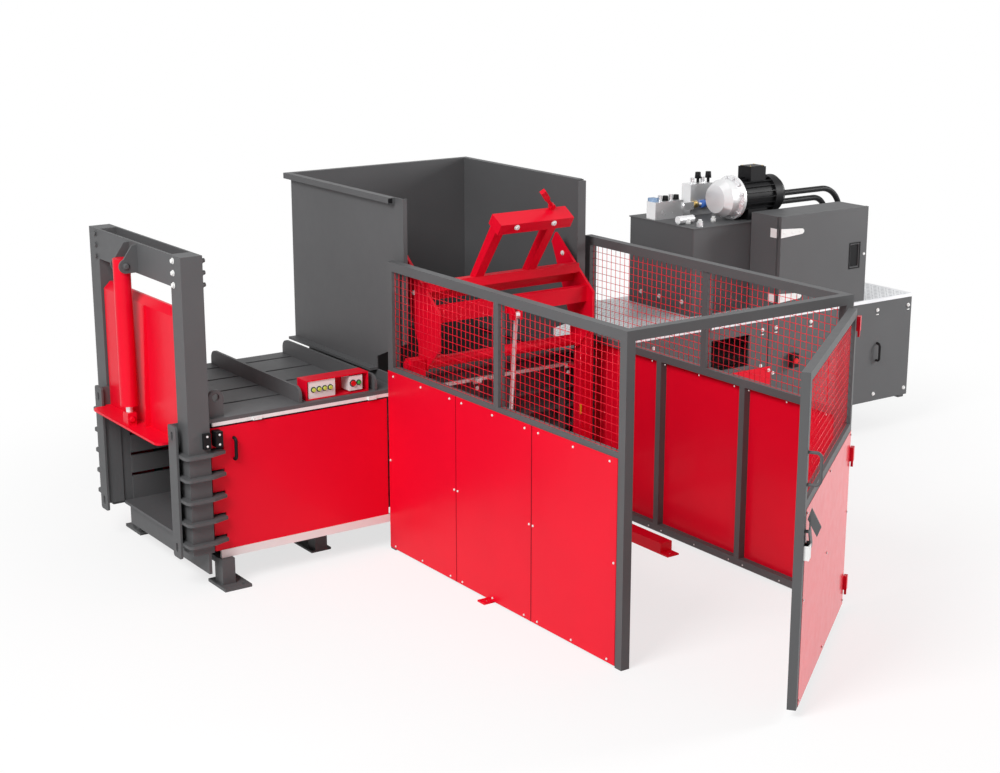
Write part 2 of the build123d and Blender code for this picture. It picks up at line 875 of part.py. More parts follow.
with BuildPart() as sill:
    with BuildSketch(Plane.XY.offset(door_bottom_z)) as sill_outline:
        with BuildLine():
            Polyline(
                (door_back_x, -door_half_width),
                (door_front_x, -door_half_width),
                (door_front_x, -sill_half_width),
                (exit_x - sill_reach, -sill_half_width),
                (exit_x - sill_reach, sill_half_width),
                (door_front_x, sill_half_width),
                (door_front_x, door_half_width),
                (door_back_x, door_half_width),
                close=True,
            )
        make_face()
        fillet(sill_outline.vertices().group_by(Axis.X)[0], sill_corner_radius)
    extrude(amount=sill_thickness)
door_pieces.append(sill.part)
save("bale_door", *door_pieces)

# Door rod from the block on the sill up into the barrel
rod_top_z = door_barrel_bottom_z + door_travel + door_rod_guide_length
save("door_rod", rod((pin_x, 0, clevis_top_z), (0, 0, 1), rod_top_z - clevis_top_z, door_rod_diameter))

# Guard rails on both sides, with their clamp blocks
rail_pieces = []
rail_bottom_z = guard_rail_bottom_z
rail_top_z = guard_rail_bottom_z + guard_rail_height
low_rail_top_z = low_rail_bottom_z + low_rail_height
for side in (-1, 1):
    rail_y = ordered(side * guard_rail_outer, side * (guard_rail_outer - guard_rail_width))
    clamp_y = ordered(side * guard_rail_outer, side * (guard_rail_outer + rail_clamp_depth))
    rail_x = (guard_rail_start_x, guard_rail_end_x)
    rail_pieces.append(bar(rail_x, rail_y, (rail_bottom_z, rail_top_z)))
    low_rail_x = (low_rail_start_x, guard_rail_end_x)
    rail_pieces.append(bar(low_rail_x, rail_y, (low_rail_bottom_z, low_rail_top_z)))
    for clamp_x in rail_clamp_centres_x:
        rail_pieces.append(bar(around(clamp_x, rail_clamp_length), clamp_y, (rail_bottom_z, rail_top_z)))
save("guard_rails", *rail_pieces)

# Interlock switches on the columns and the emergency stop box on the cover
switch_column_x = column_back_x - switch_gap / 2
switch_pieces = []
for side in (-1, 1):
    switch_pieces.append(
        bar(
            (switch_column_x - switch_width, switch_column_x),
            ordered(side * column_outer, side * (column_outer + switch_depth)),
            around(switch_z, switch_height),
        )
    )
stop_face_y = -housing_half_width - stop_box_depth
stop_hole_radius = button_stem_diameter / 2 + button_hole_clearance
with BuildPart() as stop_box:
    with Locations((stop_x, -housing_half_width - stop_box_depth / 2, stop_z)):
        Box(stop_box_width, stop_box_depth, stop_box_height)
    with BuildSketch(Plane.XZ.offset(-stop_face_y)):
        with Locations((stop_x, stop_z)):
            Circle(stop_hole_radius)
    extrude(amount=-(button_stem_length + button_travel), mode=Mode.SUBTRACT)
switch_pieces.append(stop_box.part)
save("switch_boxes", *switch_pieces)

# Sliding side guards, notched round the column ribs, with hangers and handles
guard_bottom_z = low_rail_top_z + guard_running_gap
hanger_top_z = guard_rail_bottom_z - guard_running_gap
for side, side_name in ((-1, "front"), (1, "rear")):
    panel_y = ordered(side * guard_inner, side * guard_face)
    with BuildPart() as guard_panel:
        with BuildSketch(Plane.XZ.offset(-panel_y[0])):
            with Locations(((guard_start_x + guard_end_x) / 2, (guard_bottom_z + guard_top_z) / 2)):
                Rectangle(guard_end_x - guard_start_x, guard_top_z - guard_bottom_z)
            for rib_z in rib_heights_z:
                with Locations((guard_start_x, rib_z)):
                    Rectangle(2 * guard_notch_length, guard_notch_height, mode=Mode.SUBTRACT)
        extrude(amount=-guard_thickness)
    save(f"side_guard_{side_name}", guard_panel.part)
    hanger_z = (hanger_top_z - hanger_height, hanger_top_z)
    fitting_pieces = [bar((hanger_start_x, hanger_end_x), panel_y, hanger_z)]
    for stud_x in hanger_stud_centres_x:
        fitting_pieces.append(bar(around(stud_x, hanger_stud_width), panel_y, (guard_top_z, hanger_z[0])))
    leg_span = guard_handle_length - guard_handle_diameter
    foot_z = guard_handle_bottom_z + guard_handle_diameter / 2
    handle_feet = (
        (guard_handle_x, side * guard_face, foot_z),
        (guard_handle_x, side * guard_face, foot_z + leg_span),
    )
    fitting_pieces.append(
        bow_handle(handle_feet, (0, side, 0), guard_handle_reach, guard_handle_diameter, guard_handle_bend)
    )
    key_x = guard_start_x + switch_gap / 2
    fitting_pieces.append(
        bar(
            (key_x, key_x + switch_width),
            ordered(side * guard_face, side * (column_outer + switch_depth)),
            around(switch_z, switch_height),
        )
    )
    save(f"guard_fittings_{side_name}", *fitting_pieces)

# Control hood: a red sheet box, open to the operator
hood_x = (hood_start_x, hood_start_x + hood_length)
hood_y = (-hood_front, -hood_front + hood_depth)
hood_z = (roof_z, roof_z + hood_height)
hood_inner_z = (hood_z[0] + hood_sheet, hood_z[1] - hood_sheet)
hood_back_y = hood_y[1] - hood_sheet
save(
    "control_hood",
    bar(hood_x, hood_y, (hood_z[0], hood_inner_z[0])),
    bar(hood_x, hood_y, (hood_inner_z[1], hood_z[1])),
    bar(hood_x, (hood_back_y, hood_y[1]), hood_inner_z),
    bar((hood_x[0], hood_x[0] + hood_sheet), (hood_y[0], hood_back_y), hood_inner_z),
    bar((hood_x[1] - hood_sheet, hood_x[1]), (hood_y[0], hood_back_y), hood_inner_z),
)

# Button panel and start-stop box inside the hood, bored for the button stems
panel_start_x = hood_x[0] + hood_sheet + panel_side_gap
panel_front_y = hood_y[0] + panel_inset
panel_middle_z = (hood_inner_z[0] + hood_inner_z[1]) / 2
button_centres_x = [
    panel_start_x + panel_length / 2 + (index - (button_count - 1) / 2) * button_pitch
    for index in range(button_count)
]
stem_radius = button_stem_diameter / 2 + button_hole_clearance
with BuildPart() as button_panel:
    with Locations((panel_start_x + panel_length / 2, panel_front_y + panel_thickness / 2, panel_middle_z)):
        Box(panel_length, panel_thickness, hood_inner_z[1] - hood_inner_z[0])
    with BuildSketch(Plane.XZ.offset(-panel_front_y)):
        for centre_x in button_centres_x:
            with Locations((centre_x, panel_middle_z)):
                Circle(stem_radius)
    extrude(amount=-panel_thickness, mode=Mode.SUBTRACT)
box_x = (hood_x[1] - box_end_gap - box_length, hood_x[1] - box_end_gap)
box_z = (hood_inner_z[0] + box_lift, hood_inner_z[0] + box_lift + box_height)
box_centre_x = sum(box_x) / 2
pair_centres_x = (box_centre_x - button_pair_pitch / 2, box_centre_x + button_pair_pitch / 2)
with BuildPart() as start_stop_box:
    with Locations((box_centre_x, (panel_front_y + hood_back_y) / 2, sum(box_z) / 2)):
        Box(box_length, hood_back_y - panel_front_y, box_height)
    with BuildSketch(Plane.XZ.offset(-panel_front_y)):
        for centre_x in pair_centres_x:
            with Locations((centre_x, sum(box_z) / 2)):
                Circle(stem_radius)
    extrude(amount=-(button_stem_length + button_travel), mode=Mode.SUBTRACT)
save("control_panels", button_panel.part, start_stop_box.part)


def push_button(label, centre_x, face_y, centre_z, diameter):
    """A push button whose stem runs in its panel and whose cap stands off by the travel."""
    cap_y = face_y - button_travel - button_height
    with BuildPart() as button:
        with BuildSketch(Plane.XZ.offset(-cap_y)):
            with Locations((centre_x, centre_z)):
                Circle(diameter / 2)
        extrude(amount=-button_height)
        with BuildSketch(Plane.XZ.offset(-cap_y)):
            with Locations((centre_x, centre_z)):
                Circle(button_stem_diameter / 2)
        extrude(amount=-button_stem_length)
        cap_rim = button.edges().filter_by(GeomType.CIRCLE).group_by(Axis.Y)[0]
        fillet(cap_rim, button_height / 4)
    button.part.label = label
    export_step(button.part, f"parts/{label}.step")


for index, centre_x in enumerate(button_centres_x):
    push_button(f"panel_button_{index + 1}", centre_x, panel_front_y, panel_middle_z, button_diameter)
push_button("stop_button", pair_centres_x[0], panel_front_y, sum(box_z) / 2, stop_button_diameter)
push_button("start_button", pair_centres_x[1], panel_front_y, sum(box_z) / 2, start_button_diameter)
push_button("emergency_stop", stop_x, stop_face_y, stop_z, stop_head_diameter)

# Hopper: three sheet walls with front flanges and rim, on a ring of ledges
hopper_y = (-hopper_half_width, hopper_half_width)
side_outline = (
    (hopper_y[0], ring_z + hopper_notch_high),
    (hopper_y[0], hopper_top_z),
    (hopper_y[1], hopper_top_z),
    (hopper_y[1], ring_z),
    (hopper_notch_y, ring_z),
    (hopper_notch_y, ring_z + hopper_notch_low),
)
notch_z = ring_z + hopper_notch_high
inner_start_x = hopper_start_x + hopper_sheet
inner_end_x = hopper_end_x - hopper_sheet
front_sheet_y = (hopper_y[0], hopper_y[0] + hopper_sheet)
rim_z = (hopper_top_z - rim_size, hopper_top_z)
rim_y = (hopper_y[0] + rim_end_gap, hopper_y[1])
ledge_y = channel_half_width
skirt_y = channel_half_width + skirt_thickness
skirt_z = (roof_z, ring_under_z)
flange_z = (ring_under_z, ring_z)
flange_y = (hopper_notch_y, hopper_y[1])
ledge_front_y = hopper_y[0] + ledge_front_gap
hopper_pieces = [
    plate_yz(side_outline, (hopper_start_x, inner_start_x)),
    plate_yz(side_outline, (inner_end_x, hopper_end_x)),
    bar((inner_start_x, inner_end_x), (hopper_y[1] - hopper_sheet, hopper_y[1]), (ring_z, hopper_top_z)),
    bar((inner_start_x, inner_start_x + hopper_flange_left), front_sheet_y, (notch_z, hopper_top_z)),
    bar((inner_end_x - hopper_flange_right, inner_end_x), front_sheet_y, (notch_z, hopper_top_z)),
    bar((hopper_start_x - rim_size, hopper_start_x), rim_y, rim_z),
    bar((hopper_end_x, hopper_end_x + rim_size), rim_y, rim_z),
    bar((hopper_start_x - rim_size, hopper_end_x + rim_size), (hopper_y[1], hopper_y[1] + rim_size), rim_z),
    bar((ring_start_x, inner_start_x), flange_y, flange_z),
    bar((inner_end_x, ring_end_x), flange_y, flange_z),
    bar((inner_start_x, inner_end_x), (ledge_front_y, -ledge_y), flange_z),
    bar((inner_start_x, inner_end_x), (ledge_y, hopper_y[1]), flange_z),
    bar((feed_start_x - skirt_thickness, feed_start_x), (-skirt_y, skirt_y), skirt_z),
    bar((feed_end_x, feed_end_x + skirt_thickness), (-skirt_y, skirt_y), skirt_z),
    bar((feed_start_x, feed_end_x), (-skirt_y, -ledge_y), skirt_z),
    bar((feed_start_x, feed_end_x), (ledge_y, skirt_y), skirt_z),
]
save("hopper", *hopper_pieces)

# Press ram: platen, hollow body and rod
ram_half = channel_half_width - ram_side_clearance
ram_z = (floor_z + ram_slide_clearance, floor_z + ram_slide_clearance + ram_height)
ram_body_x = (ram_face_x + ram_plate, ram_face_x + ram_length)
ram_inner = ram_half - ram_sheet
ram_pieces = [
    bar((ram_face_x, ram_body_x[0]), (-ram_half, ram_half), ram_z),
    bar(ram_body_x, (-ram_half, ram_half), (ram_z[1] - ram_sheet, ram_z[1])),
    bar(ram_body_x, (-ram_inner, ram_inner), (ram_z[0], ram_z[0] + ram_sheet)),
]
for side in (-1, 1):
    ram_pieces.append(
        bar(ram_body_x, ordered(side * ram_inner, side * ram_half), (ram_z[0], ram_z[1] - ram_sheet))
    )
save("press_ram", *ram_pieces)
rod_end_x = main_barrel_start_x + ram_stroke + main_rod_guide_length
save("ram_rod", rod((ram_body_x[0], 0, main_axis_z), (1, 0, 0), rod_end_x - ram_body_x[0], main_rod_diameter))

# Main cylinder: bored barrel, gland and the thrust block behind it
thrust_x = (barrel_end_x, barrel_end_x + thrust_length)
with BuildPart() as main_barrel:
    with BuildSketch(Plane.YZ.offset(main_barrel_start_x)):
        with Locations((0, main_axis_z)):
            Circle(main_gland_diameter / 2)
    extrude(amount=main_gland_length)
    with BuildSketch(Plane.YZ.offset(main_barrel_start_x)):
        with Locations((0, main_axis_z)):
            Circle(main_barrel_diameter / 2)
    extrude(amount=main_barrel_length)
    with BuildSketch(Plane.YZ.offset(main_barrel_start_x)):
        with Locations((0, main_axis_z)):
            Circle(main_rod_diameter / 2 + rod_clearance)
    extrude(amount=ram_stroke + 2 * main_rod_guide_length, mode=Mode.SUBTRACT)
main_pieces = [main_barrel.part]
thrust_z = around(main_axis_z, thrust_height)
main_pieces.append(bar(thrust_x, (-thrust_half_width, thrust_half_width), thrust_z))
main_pieces.append(bar(thrust_x, (-thrust_half_width, thrust_half_width), (floor_z, thrust_z[0])))
save("main_cylinder", *main_pieces)

# Ram housing: posts and the end plate that carry the covers
housing_z = (cover_bottom_z, housing_top_z)
post_foot_z = (floor_z, floor_z + post_foot_height)
housing_pieces = []
for side in (-1, 1):
    post_y = ordered(side * (cover_inner - post_depth), side * cover_inner)
    for post_x in post_centres_x:
        housing_pieces.append(bar(around(post_x, post_length), post_y, (post_foot_z[1], housing_top_z)))
        if post_x > channel_end_x:
            foot_y = ordered(side * (housing_floor_half - post_foot_overlap), side * cover_inner)
            housing_pieces.append(bar(around(post_x, post_length), foot_y, post_foot_z))
end_plate_x = (housing_end_x - cover_thickness, housing_end_x)
end_plate_y = (post_depth - cover_inner, cover_inner - post_depth)
housing_pieces.append(bar(end_plate_x, end_plate_y, (floor_z, housing_top_z)))
save("ram_housing", *housing_pieces)

# Side covers: two bolted sheets a side, the operator's one with a window
cover_spans_x = (
    (housing_start_x, cover_joint_x - cover_joint_gap / 2),
    (cover_joint_x + cover_joint_gap / 2, housing_end_x),
)
cover_pieces = []
for side in (-1, 1):
    cover_y = ordered(side * cover_inner, side * housing_half_width)
    for index, span_x in enumerate(cover_spans_x):
        with BuildPart() as cover:
            with BuildSketch(Plane.XZ.offset(-cover_y[0])):
                with Locations((sum(span_x) / 2, sum(housing_z) / 2)):
                    Rectangle(span_x[1] - span_x[0], housing_z[1] - housing_z[0])
                if side < 0 and index == 0:
                    with Locations(
                        (window_start_x + window_length / 2, window_bottom_z + window_height / 2)
                    ):
                        Rectangle(window_length, window_height, mode=Mode.SUBTRACT)
            extrude(amount=-cover_thickness)
        cover_pieces.append(cover.part)
save("side_covers", *cover_pieces)

# Red service hatch screwed on below the window
save(
    "service_hatch",
    bar(
        (hatch_start_x, hatch_start_x + hatch_length),
        (-housing_half_width - hatch_thickness, -housing_half_width),
        (hatch_top_z - hatch_height, hatch_top_z),
    ),
)

# Pull handles on the rear covers
cover_handle_pieces = []
for side in (-1, 1):
    handle_feet = [
        (cover_handle_x, side * housing_half_width, foot_z)
        for foot_z in around(cover_handle_z, cover_handle_length - cover_handle_diameter)
    ]
    cover_handle_pieces.append(
        bow_handle(handle_feet, (0, side, 0), cover_handle_reach, cover_handle_diameter, cover_handle_bend)
    )
save("cover_handles", *cover_handle_pieces)

# Tread-plate platform on two edge bars
edge_outer = housing_half_width + platform_edge_thickness
platform_under_z = platform_z - platform_sheet
platform_x = (housing_start_x, housing_end_x)
platform_pieces = [bar(platform_x, (-edge_outer, edge_outer), (platform_under_z, platform_z))]
for side in (-1, 1):
    edge_y = ordered(side * (edge_outer - platform_edge_width), side * edge_outer)
    platform_pieces.append(bar(platform_x, edge_y, (housing_top_z, platform_under_z)))
save("tread_platform", *platform_pieces)

# Oil tank with an overhanging lid
tank_x = (tank_start_x, tank_start_x + tank_length)
lid_z = (tank_top_z - tank_lid_thickness, tank_top_z)
with BuildPart() as oil_tank:
    with BuildSketch(Plane.XY.offset(platform_z)):
        with Locations((sum(tank_x) / 2, (tank_back - tank_front) / 2)):
            RectangleRounded(tank_length, tank_front + tank_back, tank_edge_radius)
    extrude(amount=tank_height - tank_lid_thickness)
    with BuildSketch(Plane.XY.offset(lid_z[0])):
        with Locations((sum(tank_x) / 2, (tank_back - tank_front) / 2)):
            RectangleRounded(
                tank_length + 2 * tank_lid_overhang,
                tank_front + tank_back + 2 * tank_lid_overhang,
                tank_edge_radius,
            )
    extrude(amount=tank_lid_thickness)
oil_tank.part.label = "oil_tank"
export_step(oil_tank.part, "parts/oil_tank.step")

# Bell housing between pump and motor, turned about the motor axis
motor_axis_z = tank_top_z + motor_axis_height
bell_end_x = bell_start_x + bell_length
with BuildPart() as bell_housing:
    with BuildSketch(Plane.XZ.offset(-motor_axis_y)):
        with BuildLine():
            Polyline(
                (bell_start_x, motor_axis_z),
                (bell_start_x, motor_axis_z + bell_nose_radius),
                (bell_start_x + bell_length / 3, motor_axis_z + bell_body_radius),
                (bell_end_x - bell_flange_length, motor_axis_z + bell_body_radius),
                (bell_end_x - bell_flange_length, motor_axis_z + bell_flange_radius),
                (bell_end_x, motor_axis_z + bell_flange_radius),
                (bell_end_x, motor_axis_z),
                close=True,
            )
        make_face()
    revolve(axis=Axis((bell_start_x, motor_axis_y, motor_axis_z), (1, 0, 0)))
bell_housing.part.label = "bell_housing"
export_step(bell_housing.part, "parts/bell_housing.step")

# Pump motor: finned frame, end shield, fan cowl, foot and terminal box
motor_end_x = bell_end_x + motor_length
cowl_start_x = motor_end_x - motor_end_length
motor_plane = Plane(origin=(bell_end_x, motor_axis_y, motor_axis_z), x_dir=(0, 1, 0), z_dir=(1, 0, 0))
with BuildPart() as motor:
    with BuildSketch(motor_plane):
        Circle(motor_radius)
        with PolarLocations(motor_radius, motor_fin_count):
            Rectangle(2 * motor_fin_height, motor_fin_thickness)
    extrude(amount=cowl_start_x - bell_end_x)
    with BuildSketch(motor_plane):
        Circle(motor_end_radius)
    extrude(amount=motor_shield_length)
    with BuildSketch(Plane.XZ.offset(-motor_axis_y)):
        with BuildLine():
            Polyline(
                (cowl_start_x, motor_axis_z),
                (cowl_start_x, motor_axis_z + motor_end_radius),
                (motor_end_x - motor_end_dome, motor_axis_z + motor_end_radius),
                (motor_end_x, motor_axis_z + motor_end_radius - motor_end_dome),
                (motor_end_x, motor_axis_z),
                close=True,
            )
        make_face()
    revolve(axis=Axis((bell_start_x, motor_axis_y, motor_axis_z), (1, 0, 0)))
motor_foot_x = around((bell_end_x + cowl_start_x) / 2, motor_foot_length)
terminal_start_x = bell_end_x + terminal_box_gap
terminal_x = (terminal_start_x, terminal_start_x + terminal_box_length)
with BuildPart() as motor_foot:
    with Locations((sum(motor_foot_x) / 2, motor_axis_y, (tank_top_z + motor_axis_z) / 2)):
        Box(motor_foot_length, motor_foot_width, motor_axis_z - tank_top_z)
    add(motor.part, mode=Mode.SUBTRACT)
with BuildPart() as terminal_box:
    with Locations((sum(terminal_x) / 2, motor_axis_y, motor_axis_z + terminal_box_top / 2)):
        Box(terminal_box_length, terminal_box_width, terminal_box_top)
    add(motor.part, mode=Mode.SUBTRACT)
    add(bell_housing.part, mode=Mode.SUBTRACT)
lowest_foot = motor_foot.part.solids().sort_by(Axis.Z)[0]
highest_box = terminal_box.part.solids().sort_by(Axis.Z)[-1]
save("pump_motor", motor.part, lowest_foot, highest_box)

# Valve manifolds on the tank lid, each with a pair of solenoid coils, and the port block
valve_pieces = []
for start_x, centre_y, length, width, height in manifold_sizes:
    manifold_x = (start_x, start_x + length)
    valve_pieces.append(bar(manifold_x, around(centre_y, width), (tank_top_z, tank_top_z + height)))
    for offset in (-1, 1):
        coil_x = sum(manifold_x) / 2 + offset * coil_pitch / 2
        coil_foot = (coil_x, centre_y, tank_top_z + height)
        valve_pieces.append(rod(coil_foot, (0, 0, 1), coil_height, coil_diameter))
valve_pieces.append(
    bar(
        (port_block_start_x, port_block_start_x + port_block_length),
        (port_block_front, port_block_back),
        (tank_top_z, tank_top_z + port_block_height),
    )
)
relief_start = (relief_start_x, relief_y, tank_top_z + relief_diameter / 2)
valve_pieces.append(rod(relief_start, (1, 0, 0), relief_length, relief_diameter))
valve_pieces.append(rod((filler_x, filler_y, tank_top_z), (0, 0, 1), filler_height, filler_diameter))
save("valve_blocks", *valve_pieces)

# Two steel pipes from the port block, bent down behind the cabinet to the platform
pipe_pieces = []
pipe_start_x = port_block_start_x + port_block_length
for row_y, row_height, end_gap, bend_radius in pipe_rows:
    row_z = tank_top_z + row_height
    drop_x = housing_end_x - end_gap
    with BuildPart() as pipe:
        with BuildLine() as pipe_path:
            FilletPolyline(
                (pipe_start_x, row_y, row_z),
                (drop_x, row_y, row_z),
                (drop_x, row_y, platform_z),
                radius=bend_radius,
            )
        with BuildSketch(Plane(origin=(pipe_start_x, row_y, row_z), z_dir=(1, 0, 0))):
            Circle(pipe_diameter / 2)
        sweep(path=pipe_path.line)
    pipe_pieces.append(pipe.part)
save("hydraulic_pipes", *pipe_pieces)

# Control cabinet: open-fronted sheet box with two hinge pins
cabinet_x = (cabinet_start_x, cabinet_start_x + cabinet_length)
cabinet_y = (-cabinet_face, -cabinet_face + cabinet_depth)
cabinet_z = (platform_z, platform_z + cabinet_height)
cabinet_inner_x = (cabinet_x[0] + cabinet_sheet, cabinet_x[1] - cabinet_sheet)
cabinet_back_y = cabinet_y[1] - cabinet_sheet
cabinet_inner_z = (cabinet_z[0] + cabinet_sheet, cabinet_z[1] - cabinet_sheet)
hinge_x = cabinet_x[0] + cabinet_hinge_inset
hinge_y = -cabinet_face - hinge_pin_diameter / 2
strap_heights_z = (cabinet_z[0] + strap_margin, cabinet_z[1] - strap_margin)
cabinet_pieces = [
    bar(cabinet_x, cabinet_y, (cabinet_z[0], cabinet_inner_z[0])),
    bar(cabinet_x, cabinet_y, (cabinet_inner_z[1], cabinet_z[1])),
    bar(cabinet_x, (cabinet_back_y, cabinet_y[1]), cabinet_inner_z),
    bar((cabinet_x[0], cabinet_inner_x[0]), (cabinet_y[0], cabinet_back_y), cabinet_inner_z),
    bar((cabinet_inner_x[1], cabinet_x[1]), (cabinet_y[0], cabinet_back_y), cabinet_inner_z),
]
lip_x = (cabinet_inner_x[0], cabinet_inner_x[0] + cabinet_lip)
cabinet_pieces.append(bar(lip_x, (cabinet_y[0], cabinet_y[0] + cabinet_sheet), cabinet_inner_z))
for strap_z in strap_heights_z:
    with BuildPart() as hinge_leaf:
        with BuildSketch(Plane.XY.offset(strap_z)):
            with BuildLine():
                Polyline(
                    (cabinet_x[0], cabinet_y[0]),
                    (cabinet_x[0], cabinet_y[0] + hinge_leaf_depth),
                    (cabinet_x[0] - strap_thickness, cabinet_y[0] + hinge_leaf_depth),
                    (cabinet_x[0] - strap_thickness, hinge_y),
                    (hinge_x, hinge_y),
                    (hinge_x, cabinet_y[0]),
                    close=True,
                )
            make_face()
            with Locations((hinge_x, hinge_y)):
                Circle(hinge_pin_diameter / 2)
        extrude(amount=strap_height / 2, both=True)
    cabinet_pieces.append(hinge_leaf.part)
save("control_cabinet", *cabinet_pieces)

# Cabinet door with tapered strap hinges
door_x = (hinge_x + hinge_pin_diameter / 2 + hinge_door_gap, cabinet_x[1] + cabinet_door_overhang)
door_inner_y = -cabinet_face - cabinet_door_gap
door_y = (door_inner_y - cabinet_door_thickness, door_inner_y)
handle_x = around(door_x[1] - cabinet_handle_inset, cabinet_handle_width)
cabinet_handle_z = around((cabinet_z[0] + cabinet_z[1]) / 2, cabinet_handle_height)
with BuildPart() as cabinet_door:
    with Locations((sum(door_x) / 2, sum(door_y) / 2, sum(cabinet_z) / 2)):
        Box(door_x[1] - door_x[0], cabinet_door_thickness, cabinet_height)
    with BuildSketch(Plane.XZ.offset(-door_y[0])):
        with Locations((sum(handle_x) / 2, sum(cabinet_handle_z) / 2)):
            RectangleRounded(cabinet_handle_width, cabinet_handle_height, handle_corner_radius)
    extrude(amount=-cabinet_handle_depth, mode=Mode.SUBTRACT)
cabinet_door_pieces = [cabinet_door.part]
for strap_z in strap_heights_z:
    with BuildPart() as strap:
        with BuildSketch(Plane.XZ.offset(-door_y[0])) as strap_outline:
            with BuildLine():
                Polyline(
                    (door_x[0], strap_z - strap_height / 2),
                    (door_x[0] + strap_length, strap_z - strap_tip_height / 2),
                    (door_x[0] + strap_length, strap_z + strap_tip_height / 2),
                    (door_x[0], strap_z + strap_height / 2),
                    close=True,
                )
            make_face()
            fillet(strap_outline.vertices().group_by(Axis.X)[-1], strap_tip_radius)
        extrude(amount=strap_thickness)
    cabinet_door_pieces.append(strap.part)
save("cabinet_door", *cabinet_door_pieces)

# Cabinet handle: a paddle in the door's recess, turning on the round roll along its top edge
paddle_x = (handle_x[0] + handle_side_gap, handle_x[1] - handle_side_gap)
paddle_back_y = door_y[0] + cabinet_handle_depth - cabinet_door_gap
paddle_middle_y = paddle_back_y - cabinet_handle_thickness / 2
paddle_axis_z = cabinet_handle_z[1] - handle_top_gap - cabinet_handle_thickness / 2
paddle_bottom_z = cabinet_handle_z[0] + handle_side_gap
with BuildPart() as paddle:
    with BuildSketch(Plane.XZ.offset(-paddle_back_y)) as paddle_outline:
        with Locations((sum(paddle_x) / 2, (paddle_bottom_z + paddle_axis_z) / 2)):
            Rectangle(paddle_x[1] - paddle_x[0], paddle_axis_z - paddle_bottom_z)
        fillet(paddle_outline.vertices().group_by(Axis.Y)[0], handle_corner_radius)
    extrude(amount=cabinet_handle_thickness)
    with BuildSketch(Plane.YZ.offset(paddle_x[0])):
        with Locations((paddle_middle_y, paddle_axis_z)):
            Circle(cabinet_handle_thickness / 2)
    extrude(amount=paddle_x[1] - paddle_x[0])
paddle.part.label = "cabinet_handle"
export_step(paddle.part, "parts/cabinet_handle.step")


def mesh_bay(plane, width, height):
    """One welded mesh bay as a grille: a thin plate with rows of openings."""
    opening_width = (width - (mesh_columns + 1) * mesh_bar) / mesh_columns
    opening_height = (height - (mesh_rows + 1) * mesh_bar) / mesh_rows
    with BuildPart() as bay:
        with BuildSketch(plane):
            Rectangle(width, height)
            with GridLocations(opening_width + mesh_bar, opening_height + mesh_bar, mesh_columns, mesh_rows):
                Rectangle(opening_width, opening_height, mode=Mode.SUBTRACT)
        extrude(amount=mesh_thickness / 2, both=True)
    return bay.part


# Fence side walls: posts and rails, mesh bays above, red sheets on the outside
fence_rail_z = (fence_height - fence_post, fence_height)
mid_rail_z = (fence_mid_z, fence_mid_z + fence_rail)
bottom_rail_z = (fence_bottom_gap, fence_bottom_gap + fence_rail)
front_post_y = (fence_front_y, fence_front_y + fence_post)
for wall_name, outer_x, inward, rear_y in (
    ("left", 0.0, 1, fence_left_rear_y),
    ("right", fence_width, -1, fence_right_rear_y),
):
    post_x = ordered(outer_x, outer_x + inward * fence_post)
    rail_x = ordered(outer_x, outer_x + inward * fence_rail)
    rear_post_y = (rear_y - fence_post, rear_y)
    clear_y = (front_post_y[1], rear_post_y[0])
    frame_pieces = [
        bar(post_x, front_post_y, (0, fence_height)),
        bar(post_x, rear_post_y, (0, fence_height)),
        bar(post_x, clear_y, fence_rail_z),
        bar(rail_x, clear_y, mid_rail_z),
        bar(rail_x, clear_y, bottom_rail_z),
    ]
    bay_width = (clear_y[1] - clear_y[0] - (fence_bay_count - 1) * fence_rail) / fence_bay_count
    bay_pitch = bay_width + fence_rail
    bay_height = fence_rail_z[0] - mid_rail_z[1]
    mesh_pieces = []
    for index in range(fence_bay_count):
        bay_start_y = clear_y[0] + index * bay_pitch
        bay_plane = Plane(
            origin=(
                outer_x + inward * fence_rail / 2,
                bay_start_y + bay_width / 2,
                mid_rail_z[1] + bay_height / 2,
            ),
            x_dir=(0, 1, 0),
            z_dir=(1, 0, 0),
        )
        mesh_pieces.append(mesh_bay(bay_plane, bay_width, bay_height))
        if index > 0:
            upright_y = (bay_start_y - fence_rail, bay_start_y)
            frame_pieces.append(bar(rail_x, upright_y, (mid_rail_z[1], fence_rail_z[0])))
    sheet_span = (rear_y - front_post_y[1] + fence_panel_gap) / fence_panel_count
    sheet_pieces = []
    for index in range(fence_panel_count):
        sheet_start_y = front_post_y[1] + index * sheet_span
        sheet_x = ordered(outer_x, outer_x - inward * fence_sheet)
        sheet_y = (sheet_start_y, sheet_start_y + sheet_span - fence_panel_gap)
        sheet_pieces.append(bar(sheet_x, sheet_y, (fence_bottom_gap, fence_panel_top_z)))
        if index > 0:
            upright_y = around(sheet_start_y - fence_panel_gap / 2, fence_rail)
            frame_pieces.append(bar(rail_x, upright_y, (bottom_rail_z[1], mid_rail_z[0])))
    if wall_name == "left":
        frame_pieces.append(bar((fence_post, fence_inner_x), front_post_y, fence_rail_z))
    save(f"fence_{wall_name}_frame", *frame_pieces)
    save(f"fence_{wall_name}_mesh", *mesh_pieces)
    save(f"fence_{wall_name}_sheets", *sheet_pieces)

